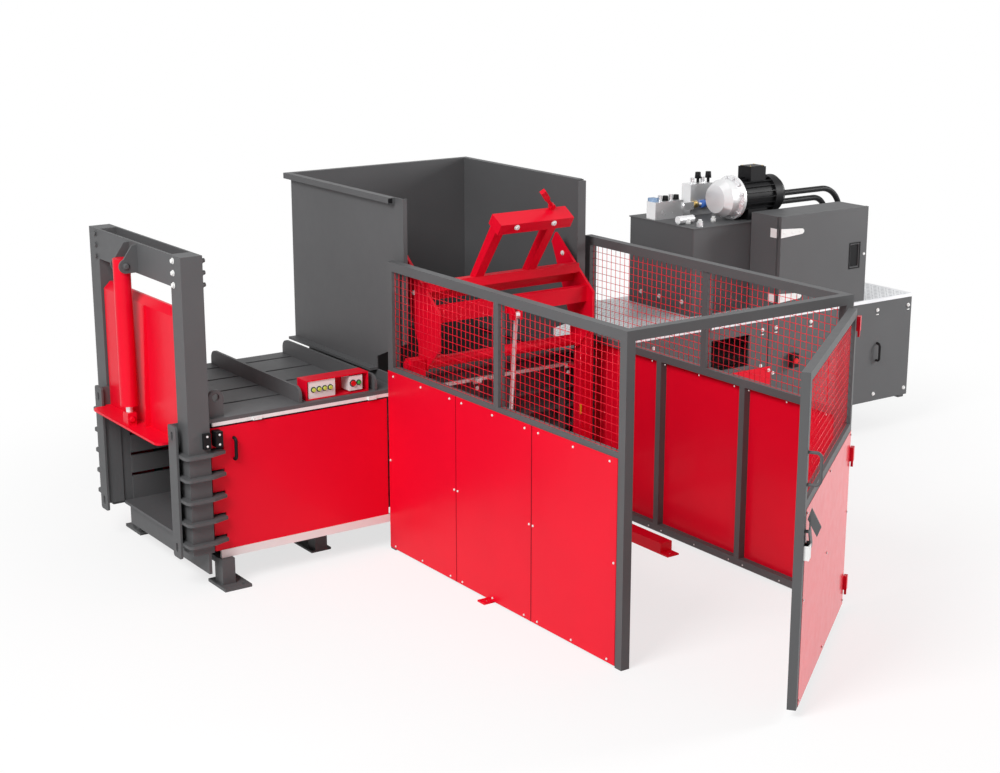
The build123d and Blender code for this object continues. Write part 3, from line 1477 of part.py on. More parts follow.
# Gate, shown open: local x runs from the hinge to the free edge, local y points outward
gate_axis = (fence_width - gate_axis_inset, fence_front_y - gate_axis_out, 0)
gate_turn = radians(gate_open_angle)
gate_plane = Plane(origin=gate_axis, x_dir=(-cos(gate_turn), -sin(gate_turn), 0), z_dir=(0, 0, 1))
gate_face = gate_bar / 2
gate_y = (gate_face - gate_bar, gate_face)
gate_clear_x = (gate_start + gate_bar, gate_width - gate_bar)
gate_z = (gate_bottom_z, gate_top_z)
gate_mid_range_z = (gate_mid_z, gate_mid_z + gate_bar)
gate_pieces = [
    bar((gate_start, gate_clear_x[0]), gate_y, gate_z, gate_plane),
    bar((gate_clear_x[1], gate_width), gate_y, gate_z, gate_plane),
    bar(gate_clear_x, gate_y, (gate_z[1] - gate_bar, gate_z[1]), gate_plane),
    bar(gate_clear_x, gate_y, (gate_z[0], gate_z[0] + gate_bar), gate_plane),
    bar(gate_clear_x, gate_y, gate_mid_range_z, gate_plane),
]
save("gate_frame", *gate_pieces)
gate_mesh_width = gate_clear_x[1] - gate_clear_x[0]
gate_mesh_height = gate_z[1] - gate_bar - gate_mid_range_z[1]
gate_mesh_centre = (
    sum(gate_clear_x) / 2,
    sum(gate_y) / 2,
    gate_mid_range_z[1] + gate_mesh_height / 2,
)
gate_mesh_plane = Plane(
    origin=gate_plane.from_local_coords(gate_mesh_centre),
    x_dir=gate_plane.x_dir,
    z_dir=gate_plane.y_dir,
)
save("gate_mesh", mesh_bay(gate_mesh_plane, gate_mesh_width, gate_mesh_height))

# Gate sheet between the lower rails, with the moving hinge knuckles
sheet_y = around(sum(gate_y) / 2, fence_sheet)
gate_sheet_pieces = [bar(gate_clear_x, sheet_y, (gate_z[0] + gate_bar, gate_mid_z), gate_plane)]
knuckle_inner = gate_pin_diameter / 2 + gate_pin_clearance
for hinge_z in gate_hinge_heights_z:
    knuckle_z = hinge_z + gate_knuckle_gap / 2
    with BuildPart(gate_plane) as knuckle:
        with Locations((0, 0, knuckle_z + gate_knuckle_height / 2)):
            Cylinder(gate_knuckle_diameter / 2, gate_knuckle_height)
        with Locations((gate_start / 2, 0, knuckle_z + gate_knuckle_height / 2)):
            Box(gate_start, gate_leaf_thickness, gate_knuckle_height)
        with Locations((0, 0, knuckle_z + gate_knuckle_height / 2)):
            Cylinder(knuckle_inner, gate_knuckle_height + cut_overrun, mode=Mode.SUBTRACT)
    gate_sheet_pieces.append(knuckle.part)
save("gate_sheet", *gate_sheet_pieces)

# Fixed hinge halves: knuckle, pin and a leaf on the right front post
hinge_pieces = []
for hinge_z in gate_hinge_heights_z:
    fixed_z = (hinge_z - gate_knuckle_height - gate_knuckle_gap / 2, hinge_z - gate_knuckle_gap / 2)
    with BuildPart() as fixed_hinge:
        with Locations((gate_axis[0], gate_axis[1], sum(fixed_z) / 2)):
            Cylinder(gate_knuckle_diameter / 2, gate_knuckle_height)
        with Locations((gate_axis[0], (gate_axis[1] + fence_front_y) / 2, sum(fixed_z) / 2)):
            Box(gate_leaf_thickness, gate_axis_out, gate_knuckle_height)
        with Locations((gate_axis[0], gate_axis[1], hinge_z)):
            Cylinder(gate_pin_diameter / 2, 2 * gate_knuckle_height)
    hinge_pieces.append(fixed_hinge.part)
save("gate_hinges", *hinge_pieces)

# Gate handle, a bow on the outer face of the free stile, and the lock body
handle_x = gate_width - gate_handle_inset
foot_heights_z = (
    gate_handle_start_z + gate_handle_diameter / 2,
    gate_handle_start_z + gate_handle_length - gate_handle_diameter / 2,
)
gate_handle_feet = [
    tuple(gate_plane.from_local_coords((handle_x, gate_face, foot_z))) for foot_z in foot_heights_z
]
lock_x = around(gate_width - latch_inset, lock_body_size)
lock_y = (gate_face, gate_face + lock_body_depth)
lock_top_z = latch_z - latch_length / 2
save(
    "gate_handle",
    bar(lock_x, lock_y, (lock_top_z - lock_body_size, lock_top_z), gate_plane),
    bow_handle(
        gate_handle_feet,
        tuple(gate_plane.y_dir),
        gate_handle_reach,
        gate_handle_diameter,
        gate_handle_bend,
    ),
)

# Turning latch above the lock body
latch_origin = gate_plane.from_local_coords((gate_width - latch_inset, gate_face, latch_z))
latch_turn = radians(latch_tilt)
latch_across = gate_plane.x_dir * -sin(latch_turn) + Vector(0, 0, 1) * -cos(latch_turn)
latch_plane = Plane(origin=latch_origin, x_dir=latch_across, z_dir=gate_plane.y_dir)
with BuildPart(latch_plane) as gate_latch:
    with Locations((0, 0, latch_pivot_length / 2 + gate_knuckle_gap)):
        Cylinder(latch_pivot_diameter / 2, latch_pivot_length)
    with BuildSketch(latch_plane.offset(latch_pivot_length)):
        with Locations((latch_length / 2 - latch_width / 2, 0)):
            SlotOverall(latch_length, latch_width)
    extrude(amount=latch_thickness)
gate_latch.part.label = "gate_latch"
export_step(gate_latch.part, "parts/gate_latch.step")

# Bin lift base: floor rails, foot plates, masts with tube bearings, ties to the baler and a tie bar
mast_y = (lift_pivot_y - mast_front, lift_pivot_y + mast_back)
base_lift_pieces = []
tube_radius = torque_tube_diameter / 2
stub_radius = stub_diameter / 2
for side in (-1, 1):
    mast_x = around(lift_centre_x + side * mast_spacing / 2, mast_width)
    rail_x = around(lift_centre_x + side * lift_rail_spacing / 2, mast_width)
    base_lift_pieces.append(bar(rail_x, (lift_rail_end_y, mast_y[1]), (0, lift_rail_height)))
    foot_x = (lift_foot_outer_x, rail_x[1]) if side < 0 else rail_x
    with BuildPart() as lift_foot:
        with BuildSketch():
            with Locations((sum(foot_x) / 2, (lift_foot_end_y + lift_rail_end_y) / 2)):
                Rectangle(foot_x[1] - foot_x[0], lift_rail_end_y - lift_foot_end_y)
            with Locations((lift_slot_centres_x[0 if side < 0 else 1], lift_foot_hole_y)):
                SlotOverall(lift_foot_hole_length, lift_foot_hole_width, mode=Mode.SUBTRACT)
        extrude(amount=lift_foot_plate)
    base_lift_pieces.append(lift_foot.part)
    tie_start_x = lift_centre_x + side * (mast_spacing - mast_width) / 2
    mast_tie_x = ordered(tie_start_x, tie_start_x + side * mast_tie_length)
    base_lift_pieces.append(bar(mast_tie_x, (mast_y[1], -guard_rail_outer), (rail_bottom_z, rail_top_z)))
    mast_z = (lift_rail_height, lift_pivot_z + mast_top)
    with BuildPart() as mast:
        with Locations((sum(mast_x) / 2, sum(mast_y) / 2, sum(mast_z) / 2)):
            Box(mast_width, mast_front + mast_back, mast_z[1] - mast_z[0])
        with BuildSketch(Plane.YZ.offset(mast_x[0] - cut_overrun)):
            with Locations((lift_pivot_y, lift_pivot_z)):
                Circle(stub_radius + bearing_clearance)
        extrude(amount=mast_width + 2 * cut_overrun, mode=Mode.SUBTRACT)
    base_lift_pieces.append(mast.part)

# Lift cylinder line: straight through the rod eye at both ends of the swing
eye_radius_arm = hypot(eye_offset_y, eye_offset_z)
eye_angle = degrees(atan2(-eye_offset_y, eye_offset_z))
lift_lean = radians(eye_angle + lift_swing / 2 - 90)
lift_stroke = 2 * eye_radius_arm * sin(radians(lift_swing / 2))
eye_y = lift_pivot_y + eye_offset_y
eye_z = lift_pivot_z + eye_offset_z
lift_up = (0, -sin(lift_lean), cos(lift_lean))
rod_end_allowance = lift_rod_guide_length + 2 * base_eye_radius + lift_end_clearance
closed_length = lift_stroke + lift_barrel_cap + rod_end_allowance
full_length = lift_stroke + closed_length
base_eye_y = eye_y + full_length * sin(lift_lean)
base_eye_z = eye_z - full_length * cos(lift_lean)
tie_y = around(base_eye_y, tie_depth)
tie_x = around(lift_centre_x, lift_rail_spacing - mast_width)
base_lift_pieces.append(bar(tie_x, tie_y, (lift_foot_plate, lift_rail_height)))
lug_outer = eye_width / 2 + eye_gap + eye_lug_thickness
for side in (-1, 1):
    lug_x = ordered(
        lift_centre_x + side * (eye_width / 2 + eye_gap),
        lift_centre_x + side * lug_outer,
    )
    with BuildPart() as base_lug:
        with BuildSketch(Plane.YZ.offset(lug_x[0])):
            with Locations((base_eye_y, (lift_rail_height + base_eye_z) / 2)):
                Rectangle(2 * base_eye_radius, base_eye_z - lift_rail_height)
            with Locations((base_eye_y, base_eye_z)):
                Circle(base_eye_radius)
                Circle(base_pin_diameter / 2, mode=Mode.SUBTRACT)
        extrude(amount=eye_lug_thickness)
    base_lift_pieces.append(base_lug.part)
save("lift_base", *base_lift_pieces)

# Lift cylinder barrel on its base pin
barrel_length = closed_length - lift_barrel_cap
barrel_plane = Plane(origin=(lift_centre_x, base_eye_y, base_eye_z), x_dir=(1, 0, 0), z_dir=lift_up)
with BuildPart(barrel_plane) as lift_barrel:
    Cylinder(eye_width / 2, barrel_length, align=(Align.CENTER, Align.CENTER, Align.MIN))
    with Locations((0, 0, lift_neck_length)):
        Cylinder(
            lift_barrel_diameter / 2,
            barrel_length - lift_neck_length,
            align=(Align.CENTER, Align.CENTER, Align.MIN),
        )
    with Locations(Location((0, 0, 0), (0, 90, 0))):
        Cylinder(base_eye_radius, eye_width)
        Cylinder(base_pin_diameter / 2, eye_width + cut_overrun, mode=Mode.SUBTRACT)
    with Locations((0, 0, barrel_length)):
        Cylinder(
            lift_rod_diameter / 2 + rod_clearance,
            barrel_length - 2 * base_eye_radius,
            align=(Align.CENTER, Align.CENTER, Align.MAX),
            mode=Mode.SUBTRACT,
        )
base_pin_half = lug_outer + eye_pin_head
save(
    "lift_cylinder",
    lift_barrel.part,
    rod(
        (lift_centre_x - base_pin_half, base_eye_y, base_eye_z),
        (1, 0, 0),
        2 * base_pin_half,
        base_pin_diameter,
    ),
)

# Lift rod and its eye
eye_plane = Plane(origin=(lift_centre_x, eye_y, eye_z), x_dir=(1, 0, 0), z_dir=lift_up)
rod_in_barrel = barrel_length - full_length - lift_rod_guide_length
with BuildPart(eye_plane) as lift_rod:
    with Locations((0, 0, rod_in_barrel)):
        Cylinder(
            lift_rod_diameter / 2,
            -rod_in_barrel,
            align=(Align.CENTER, Align.CENTER, Align.MIN),
        )
    with Locations(Location((0, 0, 0), (0, 90, 0))):
        Cylinder(eye_radius, eye_width)
        Cylinder(eye_pin_diameter / 2, eye_width + cut_overrun, mode=Mode.SUBTRACT)
lift_rod.part.label = "lift_rod"
export_step(lift_rod.part, "parts/lift_rod.step")

# Bin tipper, shown raised: torque tube, two arms, cross members and rod lugs
arm_inner = (lift_centre_x - arm_spacing / 2 + arm_thickness, lift_centre_x + arm_spacing / 2 - arm_thickness)
arm_outline = [
    (lift_pivot_y + arm_root, lift_pivot_z - arm_root),
    (lift_pivot_y - arm_root, lift_pivot_z - arm_root),
    (lift_pivot_y - arm_front, lift_pivot_z + arm_front_low),
    (lift_pivot_y - arm_front, lift_pivot_z + arm_front_high),
    (lift_pivot_y + arm_top_in, lift_pivot_z + arm_top),
    (lift_pivot_y + arm_top_in + arm_tip * arm_tip_share, lift_pivot_z + arm_top - arm_tip),
    (lift_pivot_y + arm_waist, lift_pivot_z + arm_waist_height),
    (lift_pivot_y + arm_root, lift_pivot_z + arm_front_low),
]
mast_inner = (mast_spacing - mast_width) / 2 - end_cap_gap
mast_outer = (mast_spacing + mast_width) / 2 + end_cap_gap
cap_end = mast_outer + end_cap_length
with BuildPart() as torque_tube:
    with BuildSketch(Plane.XZ.offset(-lift_pivot_y)):
        with BuildLine():
            Polyline(
                (lift_centre_x - cap_end, lift_pivot_z),
                (lift_centre_x - cap_end, lift_pivot_z + tube_radius),
                (lift_centre_x - mast_outer, lift_pivot_z + tube_radius),
                (lift_centre_x - mast_outer, lift_pivot_z + stub_radius),
                (lift_centre_x - mast_inner, lift_pivot_z + stub_radius),
                (lift_centre_x - mast_inner, lift_pivot_z + tube_radius),
                (lift_centre_x + mast_inner, lift_pivot_z + tube_radius),
                (lift_centre_x + mast_inner, lift_pivot_z + stub_radius),
                (lift_centre_x + mast_outer, lift_pivot_z + stub_radius),
                (lift_centre_x + mast_outer, lift_pivot_z + tube_radius),
                (lift_centre_x + cap_end, lift_pivot_z + tube_radius),
                (lift_centre_x + cap_end, lift_pivot_z),
                close=True,
            )
        make_face()
    revolve(axis=Axis((0, lift_pivot_y, lift_pivot_z), (1, 0, 0)))
tipper_pieces = [torque_tube.part]
for side in (-1, 1):
    arm_x = ordered(
        lift_centre_x + side * arm_spacing / 2,
        lift_centre_x + side * (arm_spacing / 2 - arm_thickness),
    )
    with BuildPart() as tipper_arm:
        with BuildSketch(Plane.YZ.offset(arm_x[0])):
            with BuildLine():
                Polyline(*arm_outline, close=True)
            make_face()
            with Locations((lift_pivot_y, lift_pivot_z)):
                Circle(tube_radius, mode=Mode.SUBTRACT)
        extrude(amount=arm_thickness)
    tipper_pieces.append(tipper_arm.part)
lift_beam_y = (lift_pivot_y - beam_front, lift_pivot_y - beam_front + beam_depth)
lift_beam_z = (lift_pivot_z + lift_beam_bottom, lift_pivot_z + lift_beam_bottom + lift_beam_height)
tipper_pieces.append(bar(arm_inner, lift_beam_y, lift_beam_z))
cross_y = lift_pivot_y + cross_bar_centre_y
cross_z = lift_pivot_z + cross_bar_centre
tipper_pieces.append(bar(arm_inner, around(cross_y, cross_bar_size), around(cross_z, cross_bar_size)))
for side in (-1, 1):
    lug_x = ordered(
        lift_centre_x + side * (eye_width / 2 + eye_gap),
        lift_centre_x + side * lug_outer,
    )
    lug_bottom_z = eye_z - eye_lug_reach
    with BuildPart() as rod_lug:
        with BuildSketch(Plane.YZ.offset(lug_x[0])):
            with BuildLine():
                Polyline(
                    (lift_beam_y[0], lift_beam_z[1]),
                    (lift_beam_y[0], lift_beam_z[0]),
                    (eye_y + eye_lug_reach, lug_bottom_z),
                    (eye_y - eye_lug_reach, lug_bottom_z),
                    (eye_y - eye_lug_reach, eye_z + eye_lug_reach),
                    close=True,
                )
            make_face()
            with Locations((eye_y, eye_z)):
                Circle(eye_pin_diameter / 2, mode=Mode.SUBTRACT)
        extrude(amount=eye_lug_thickness)
    tipper_pieces.append(rod_lug.part)
    pin_start_x = lift_centre_x + side * (eye_width / 2 + eye_gap)
    pin_length = eye_lug_thickness + eye_pin_head
    tipper_pieces.append(rod((pin_start_x, eye_y, eye_z), (side, 0, 0), pin_length, eye_pin_diameter))
save("bin_tipper", *tipper_pieces)

# Tipping frame: two side bars, a cross bar and a deep head bar, leaning over the bin
tip_turn = radians(tip_frame_lean)
tip_up = (0, -sin(tip_turn), cos(tip_turn))
tip_plane = Plane(origin=(lift_centre_x, cross_y, cross_z), x_dir=(1, 0, 0), z_dir=tip_up)
tip_head_z = (tip_frame_length, tip_frame_length + tip_head_height)
tip_pieces = []
for side in (-1, 1):
    tip_bar_x = ordered(side * tip_frame_width / 2, side * (tip_frame_width / 2 - tip_bar_size))
    tip_foot = plate_yz(
        (
            (cross_y - cross_bar_size / 2, cross_z + cross_bar_size / 2),
            (cross_y + cross_bar_size / 2, cross_z + cross_bar_size / 2),
            (cross_y - tip_head_z[0] * sin(tip_turn) + tip_bar_size / 2 * cos(tip_turn),
             cross_z + tip_head_z[0] * cos(tip_turn) + tip_bar_size / 2 * sin(tip_turn)),
            (cross_y - tip_head_z[0] * sin(tip_turn) - tip_bar_size / 2 * cos(tip_turn),
             cross_z + tip_head_z[0] * cos(tip_turn) - tip_bar_size / 2 * sin(tip_turn)),
        ),
        (lift_centre_x + tip_bar_x[0], lift_centre_x + tip_bar_x[1]),
    )
    tip_pieces.append(tip_foot)
tip_cross_x = around(0, tip_frame_width - 2 * tip_bar_size)
tip_cross_z = (tip_head_z[0] - tip_bar_size, tip_head_z[0])
tip_pieces.append(bar(tip_cross_x, around(0, tip_bar_size), tip_cross_z, tip_plane))
tip_head_y = around(-tip_head_shift, tip_head_depth)
tip_pieces.append(bar(around(0, tip_head_width), tip_head_y, tip_head_z, tip_plane))
save("tipping_frame", *tip_pieces)

# Bin clamp: a hub on the head bar with a tilted flat lever and grip
clamp_turn = radians(clamp_tilt)
clamp_plane = Plane(
    origin=tip_plane.from_local_coords((clamp_offset, 0, tip_head_z[1])),
    x_dir=(1, 0, 0),
    z_dir=tip_up,
)
hub_centre = clamp_hub_diameter / 2 + gate_knuckle_gap
lever_align = (Align.CENTER, Align.CENTER, Align.MIN)
with BuildPart(clamp_plane) as bin_clamp:
    with Locations(Location((0, 0, hub_centre), (90, 0, 0))):
        Cylinder(clamp_hub_diameter / 2, clamp_hub_length)
    shank_length = clamp_hub_diameter / 2 + clamp_shank_length
    with Locations(Location((0, 0, hub_centre), (0, -clamp_tilt, 0))):
        Box(clamp_shank_width, clamp_shank_thickness, shank_length, align=lever_align)
    grip_foot = (-shank_length * sin(clamp_turn), 0, hub_centre + shank_length * cos(clamp_turn))
    with Locations(Location(grip_foot, (0, -clamp_tilt, 0))):
        Box(clamp_grip_width, clamp_grip_thickness, clamp_grip_length, align=lever_align)
bin_clamp.part.label = "bin_clamp"
export_step(bin_clamp.part, "parts/bin_clamp.step")
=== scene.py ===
"""Looks for the recycling baler: finishes, wire mesh, tread plate, fasteners, light and camera."""
import json
import math

import bpy
import bmesh
from mathutils import Matrix, Vector


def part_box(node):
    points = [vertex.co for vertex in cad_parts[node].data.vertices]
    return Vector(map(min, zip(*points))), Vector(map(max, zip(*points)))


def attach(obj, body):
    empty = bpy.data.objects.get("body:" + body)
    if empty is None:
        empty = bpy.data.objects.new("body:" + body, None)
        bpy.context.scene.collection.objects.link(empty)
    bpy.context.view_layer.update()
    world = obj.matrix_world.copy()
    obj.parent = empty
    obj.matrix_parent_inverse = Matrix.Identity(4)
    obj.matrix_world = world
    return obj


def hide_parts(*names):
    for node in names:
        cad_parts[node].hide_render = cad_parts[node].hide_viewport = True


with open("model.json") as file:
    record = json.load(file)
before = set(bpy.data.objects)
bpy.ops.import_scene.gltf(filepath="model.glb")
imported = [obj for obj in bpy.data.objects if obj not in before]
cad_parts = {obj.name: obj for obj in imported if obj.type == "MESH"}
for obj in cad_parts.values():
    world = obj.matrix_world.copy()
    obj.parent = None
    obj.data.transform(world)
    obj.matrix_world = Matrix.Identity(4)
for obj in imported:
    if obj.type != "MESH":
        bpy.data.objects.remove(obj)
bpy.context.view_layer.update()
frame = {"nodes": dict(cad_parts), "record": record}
nodes = frame["nodes"]


# Materials

even = (1.0, 1.0, 1.0)
broad_scale = 2.3
wear_scale = 14.0
gloss_drop = 0.06
gloss_gain = 0.08
least_roughness = 0.02
coat_roughness = 0.08
relief_depth = 0.002


def new_material(name):
    material = bpy.data.materials.new(name)
    material.use_nodes = True
    tree = material.node_tree
    shader = tree.nodes["Principled BSDF"]
    return material, tree, shader


def add_noise(tree, scale, detail, roughness, stretch=even):
    place = tree.nodes.new("ShaderNodeTexCoord")
    mapping = tree.nodes.new("ShaderNodeMapping")
    mapping.inputs["Scale"].default_value = stretch
    noise = tree.nodes.new("ShaderNodeTexNoise")
    noise.inputs["Scale"].default_value = scale
    noise.inputs["Detail"].default_value = detail
    noise.inputs["Roughness"].default_value = roughness
    tree.links.new(place.outputs["Object"], mapping.inputs["Vector"])
    tree.links.new(mapping.outputs["Vector"], noise.inputs["Vector"])
    return noise


def add_ramp(tree, source, low, high, start=0.3, end=0.7):
    ramp = tree.nodes.new("ShaderNodeValToRGB")
    for stop, place, color in zip(ramp.color_ramp.elements, (start, end), (low, high)):
        stop.position = place
        stop.color = (*color, 1.0)
    tree.links.new(source, ramp.inputs["Fac"])
    return ramp


def add_range(tree, source, low, high):
    span = tree.nodes.new("ShaderNodeMapRange")
    span.inputs["To Min"].default_value = low
    span.inputs["To Max"].default_value = high
    tree.links.new(source, span.inputs["Value"])
    return span


def finish_material(name, color, roughness, metallic=0.0, coat=0.0, variation=0.06,
                    bump=0.02, bump_scale=180.0, stretch=even, specular=0.5):
    """A painted, plated or moulded finish with fine surface texture and slight unevenness."""
    material, tree, shader = new_material(name)
    broad = add_noise(tree, broad_scale, detail=3.0, roughness=0.5)
    low = tuple(channel * (1.0 - variation) for channel in color)
    high = tuple(min(1.0, channel * (1.0 + variation)) for channel in color)
    tone = add_ramp(tree, broad.outputs["Fac"], low, high)
    tree.links.new(tone.outputs["Color"], shader.inputs["Base Color"])
    wear = add_noise(tree, wear_scale, detail=5.0, roughness=0.6)
    smoothest = max(least_roughness, roughness - gloss_drop)
    roughest = min(1.0, roughness + gloss_gain)
    gloss = add_range(tree, wear.outputs["Fac"], smoothest, roughest)
    tree.links.new(gloss.outputs["Result"], shader.inputs["Roughness"])
    shader.inputs["Metallic"].default_value = metallic
    shader.inputs["Specular IOR Level"].default_value = specular
    shader.inputs["Coat Weight"].default_value = coat
    shader.inputs["Coat Roughness"].default_value = coat_roughness
    fine = add_noise(tree, bump_scale, detail=2.0, roughness=0.5, stretch=stretch)
    relief = tree.nodes.new("ShaderNodeBump")
    relief.inputs["Strength"].default_value = bump
    relief.inputs["Distance"].default_value = relief_depth
    tree.links.new(fine.outputs["Fac"], relief.inputs["Height"])
    tree.links.new(relief.outputs["Normal"], shader.inputs["Normal"])
    material.diffuse_color = (*color, 1.0)
    return material


red_color = (0.76, 0.003, 0.022)
grey = finish_material("Grey powder coat", (0.098, 0.099, 0.102), roughness=0.52, variation=0.04,
                       bump=0.05, bump_scale=420.0, specular=0.22)
# Near-black steel: painted shade, for the insides of hollow tube ends
painted_shade_steel = finish_material("Painted shade steel", (0.012, 0.012, 0.013), roughness=0.7, bump=0.03, specular=0.1)
red = finish_material("Red paint", red_color, roughness=0.34, coat=0.04, variation=0.025,
                      bump=0.012, specular=0.14)
red_gloss = finish_material("Red gloss sheet", red_color, roughness=0.3, coat=0.38, variation=0.02,
                            bump=0.006, specular=0.3)
white = finish_material("White paint", (0.80, 0.80, 0.79), roughness=0.4, variation=0.02, specular=0.3)
yellow = finish_material("Yellow paint", (0.80, 0.62, 0.02), roughness=0.4)
# Darkened copy of the red paint for the seams between fence sheets: painted shade of the gaps
seam_shade_red = finish_material("Shaded red", (0.30, 0.001, 0.008), roughness=0.5, bump=0.01, specular=0.1)
black = finish_material("Black paint", (0.008, 0.008, 0.009), roughness=0.45, bump=0.05,
                        bump_scale=340.0, specular=0.15)
plastic = finish_material("Black moulding", (0.012, 0.012, 0.013), roughness=0.5, bump=0.08,
                          bump_scale=600.0, specular=0.12)
red_plastic = finish_material("Red moulding", (0.66, 0.008, 0.010), roughness=0.28, specular=0.3)
green_plastic = finish_material("Lime moulding", (0.52, 0.62, 0.10), roughness=0.3)
green_cap = finish_material("Green moulding", (0.03, 0.36, 0.06), roughness=0.3)
blue_plastic = finish_material("Blue moulding", (0.05, 0.16, 0.55), roughness=0.35, bump=0.03)
pale_blue = finish_material("Pale blue moulding", (0.30, 0.45, 0.68), roughness=0.38, bump=0.03)
brass = finish_material("Brass", (0.74, 0.52, 0.18), roughness=0.28, metallic=1.0)
chrome = finish_material("Chromed rod", (0.86, 0.87, 0.88), roughness=0.16, metallic=0.45, variation=0.02,
                         bump_scale=300.0, stretch=(1.0, 1.0, 0.05))
tread = finish_material("Tread aluminium", (0.80, 0.81, 0.83), roughness=0.4, metallic=0.25, variation=0.08,
                        bump=0.06, bump_scale=220.0)
# Darker grey for the raised lozenges of the tread plate: painted shade, the plate being one metal
lozenge_shade_grey = finish_material("Tread lozenge", (0.42, 0.43, 0.45), roughness=0.3, metallic=0.5)
polished = finish_material("Polished casting", (0.86, 0.86, 0.87), roughness=0.24, metallic=0.55,
                           bump=0.12, bump_scale=24.0)
steel = finish_material("Bright steel", (0.50, 0.51, 0.53), roughness=0.26, metallic=1.0, bump=0.04,
                        bump_scale=240.0, stretch=(0.1, 1.0, 1.0))

finish_of_slot = {
    "grey_paint": grey,
    "red_paint": red,
    "white_paint": white,
    "black_paint": black,
    "black_plastic": plastic,
    "red_plastic": red_plastic,
    "green_plastic": green_plastic,
    "chrome_rod": chrome,
    "tread_aluminium": tread,
    "cast_aluminium": polished,
    "bright_steel": steel,
}
slot_of_node = {entry["node"]: entry["material_slot"] for entry in frame["record"]["subparts"]}
finish_of_node = {
    "gate_latch": grey,
    "gate_handle": grey,
    "start_button": green_cap,
    "valve_blocks": polished,
}
edge_angle = math.radians(40)
edge_segments = 2
plain_edge = 0.002
edge_width = {
    "hopper": 0.003,
    "oil_tank": 0.004,
    "base_frame": 0.004,
    "exit_portal": 0.006,
    "bin_tipper": 0.005,
    "tipping_frame": 0.006,
    "lift_base": 0.004,
    "gate_frame": 0.004,
    "fence_left_frame": 0.005,
    "fence_right_frame": 0.005,
    "control_cabinet": 0.006,
    "cabinet_door": 0.005,
    "press_ram": 0.004,
    "side_covers": 0.004,
    "control_hood": 0.003,
    "bale_door": 0.004,
}
for name, node in nodes.items():
    node.data.materials.clear()
    node.data.materials.append(finish_of_node.get(name, finish_of_slot[slot_of_node[name]]))
    edge = node.modifiers.new("Soft edges", "BEVEL")
    edge.width = edge_width.get(name, plain_edge)
    edge.segments = edge_segments
    edge.limit_method = "ANGLE"
    edge.angle_limit = edge_angle
    edge.harden_normals = False


# Shapes

hexagon = 6
screw_sides = 14
bolt_sides = 16
coil_sides = 20
washer_share = 0.25
washer_grow = 1.35
head_taper = 0.92
dome_share = 0.6
dome_top = 0.55
smooth_area = 0.004


def facing(place, direction):
    """A frame at a place, with its Z axis along a direction."""
    return Matrix.Translation(place) @ direction.to_track_quat("Z", "Y").to_matrix().to_4x4()


def new_piece(mesh, name, material):
    """A mesh object in the scene, made from a gathered mesh."""
    data = bpy.data.meshes.new(name)
    mesh.to_mesh(data)
    mesh.free()
    made = bpy.data.objects.new(name, data)
    bpy.context.scene.collection.objects.link(made)
    made.data.materials.append(material)
    return made


class Shape:
    """Gathers many small solids into one mesh object."""

    def __init__(self):
        self.mesh = bmesh.new()

    def box(self, low, high, turn=None):
        size = [high[i] - low[i] for i in range(3)]
        middle = Vector([(high[i] + low[i]) / 2 for i in range(3)])
        place = Matrix.Translation(middle)
        if turn is not None:
            place = turn @ place
        grown = place @ Matrix.Diagonal((*size, 1.0))
        bmesh.ops.create_cube(self.mesh, size=1.0, matrix=grown)

    def rod(self, start, end, radius, sides=12, end_radius=None):
        start = Vector(start)
        end = Vector(end)
        along = end - start
        bmesh.ops.create_cone(
            self.mesh,
            cap_ends=True,
            segments=sides,
            radius1=radius,
            radius2=radius if end_radius is None else end_radius,
            depth=along.length,
            matrix=facing((start + end) / 2, along),
        )

    def bolt(self, seat, normal, radius, height):
        """A washer with a hexagon head, standing on a face."""
        seat = Vector(seat)
        normal = Vector(normal).normalized()
        washer_top = seat + normal * height * washer_share
        self.rod(seat, washer_top, radius * washer_grow, bolt_sides)
        self.rod(washer_top, seat + normal * height, radius, hexagon, radius * head_taper)

    def dome(self, seat, normal, radius, height):
        """A round-headed screw."""
        seat = Vector(seat)
        normal = Vector(normal).normalized()
        shoulder = seat + normal * height * dome_share
        self.rod(seat, shoulder, radius, screw_sides, radius * head_taper)
        self.rod(shoulder, seat + normal * height, radius * head_taper, screw_sides, radius * dome_top)

    def ring(self, seat, normal, radius, width, height, sides=32):
        """A flat-topped collar standing on a face."""
        place = facing(Vector(seat), Vector(normal).normalized())
        inside = radius - width
        rows = []
        for reach, rise in ((radius, 0.0), (radius, height), (inside, height), (inside, 0.0)):
            row = []
            for index in range(sides):
                angle = 2 * math.pi * index / sides
                spot = Vector((reach * math.cos(angle), reach * math.sin(angle), rise))
                row.append(self.mesh.verts.new(place @ spot))
            rows.append(row)
        for lower, upper in zip(rows, rows[1:]):
            for index in range(sides):
                after = (index + 1) % sides
                self.mesh.faces.new((lower[index], lower[after], upper[after], upper[index]))

    def plate(self, outline, drop):
        """A flat plate from its outline, thickened by one vector."""
        drop = Vector(drop)
        front = [self.mesh.verts.new(Vector(point)) for point in outline]
        back = [self.mesh.verts.new(Vector(point) + drop) for point in outline]
        self.mesh.faces.new(front)
        self.mesh.faces.new(list(reversed(back)))
        for index in range(len(outline)):
            after = (index + 1) % len(outline)
            self.mesh.faces.new((front[after], front[index], back[index], back[after]))

    def done(self, name, material, body, smooth=True):
        """Turns the gathered solids into a piece that rides on a body."""
        bmesh.ops.recalc_face_normals(self.mesh, faces=self.mesh.faces)
        made = new_piece(self.mesh, name, material)
        if smooth:
            for face in made.data.polygons:
                face.use_smooth = len(face.vertices) == 4 and face.area < smooth_area
        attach(made, body)
        return made


# Welded mesh of the fence and the gate, red wires at their true pitch

wire_radius = 0.0019
wire_pitch = 0.05
mesh_post = 0.05


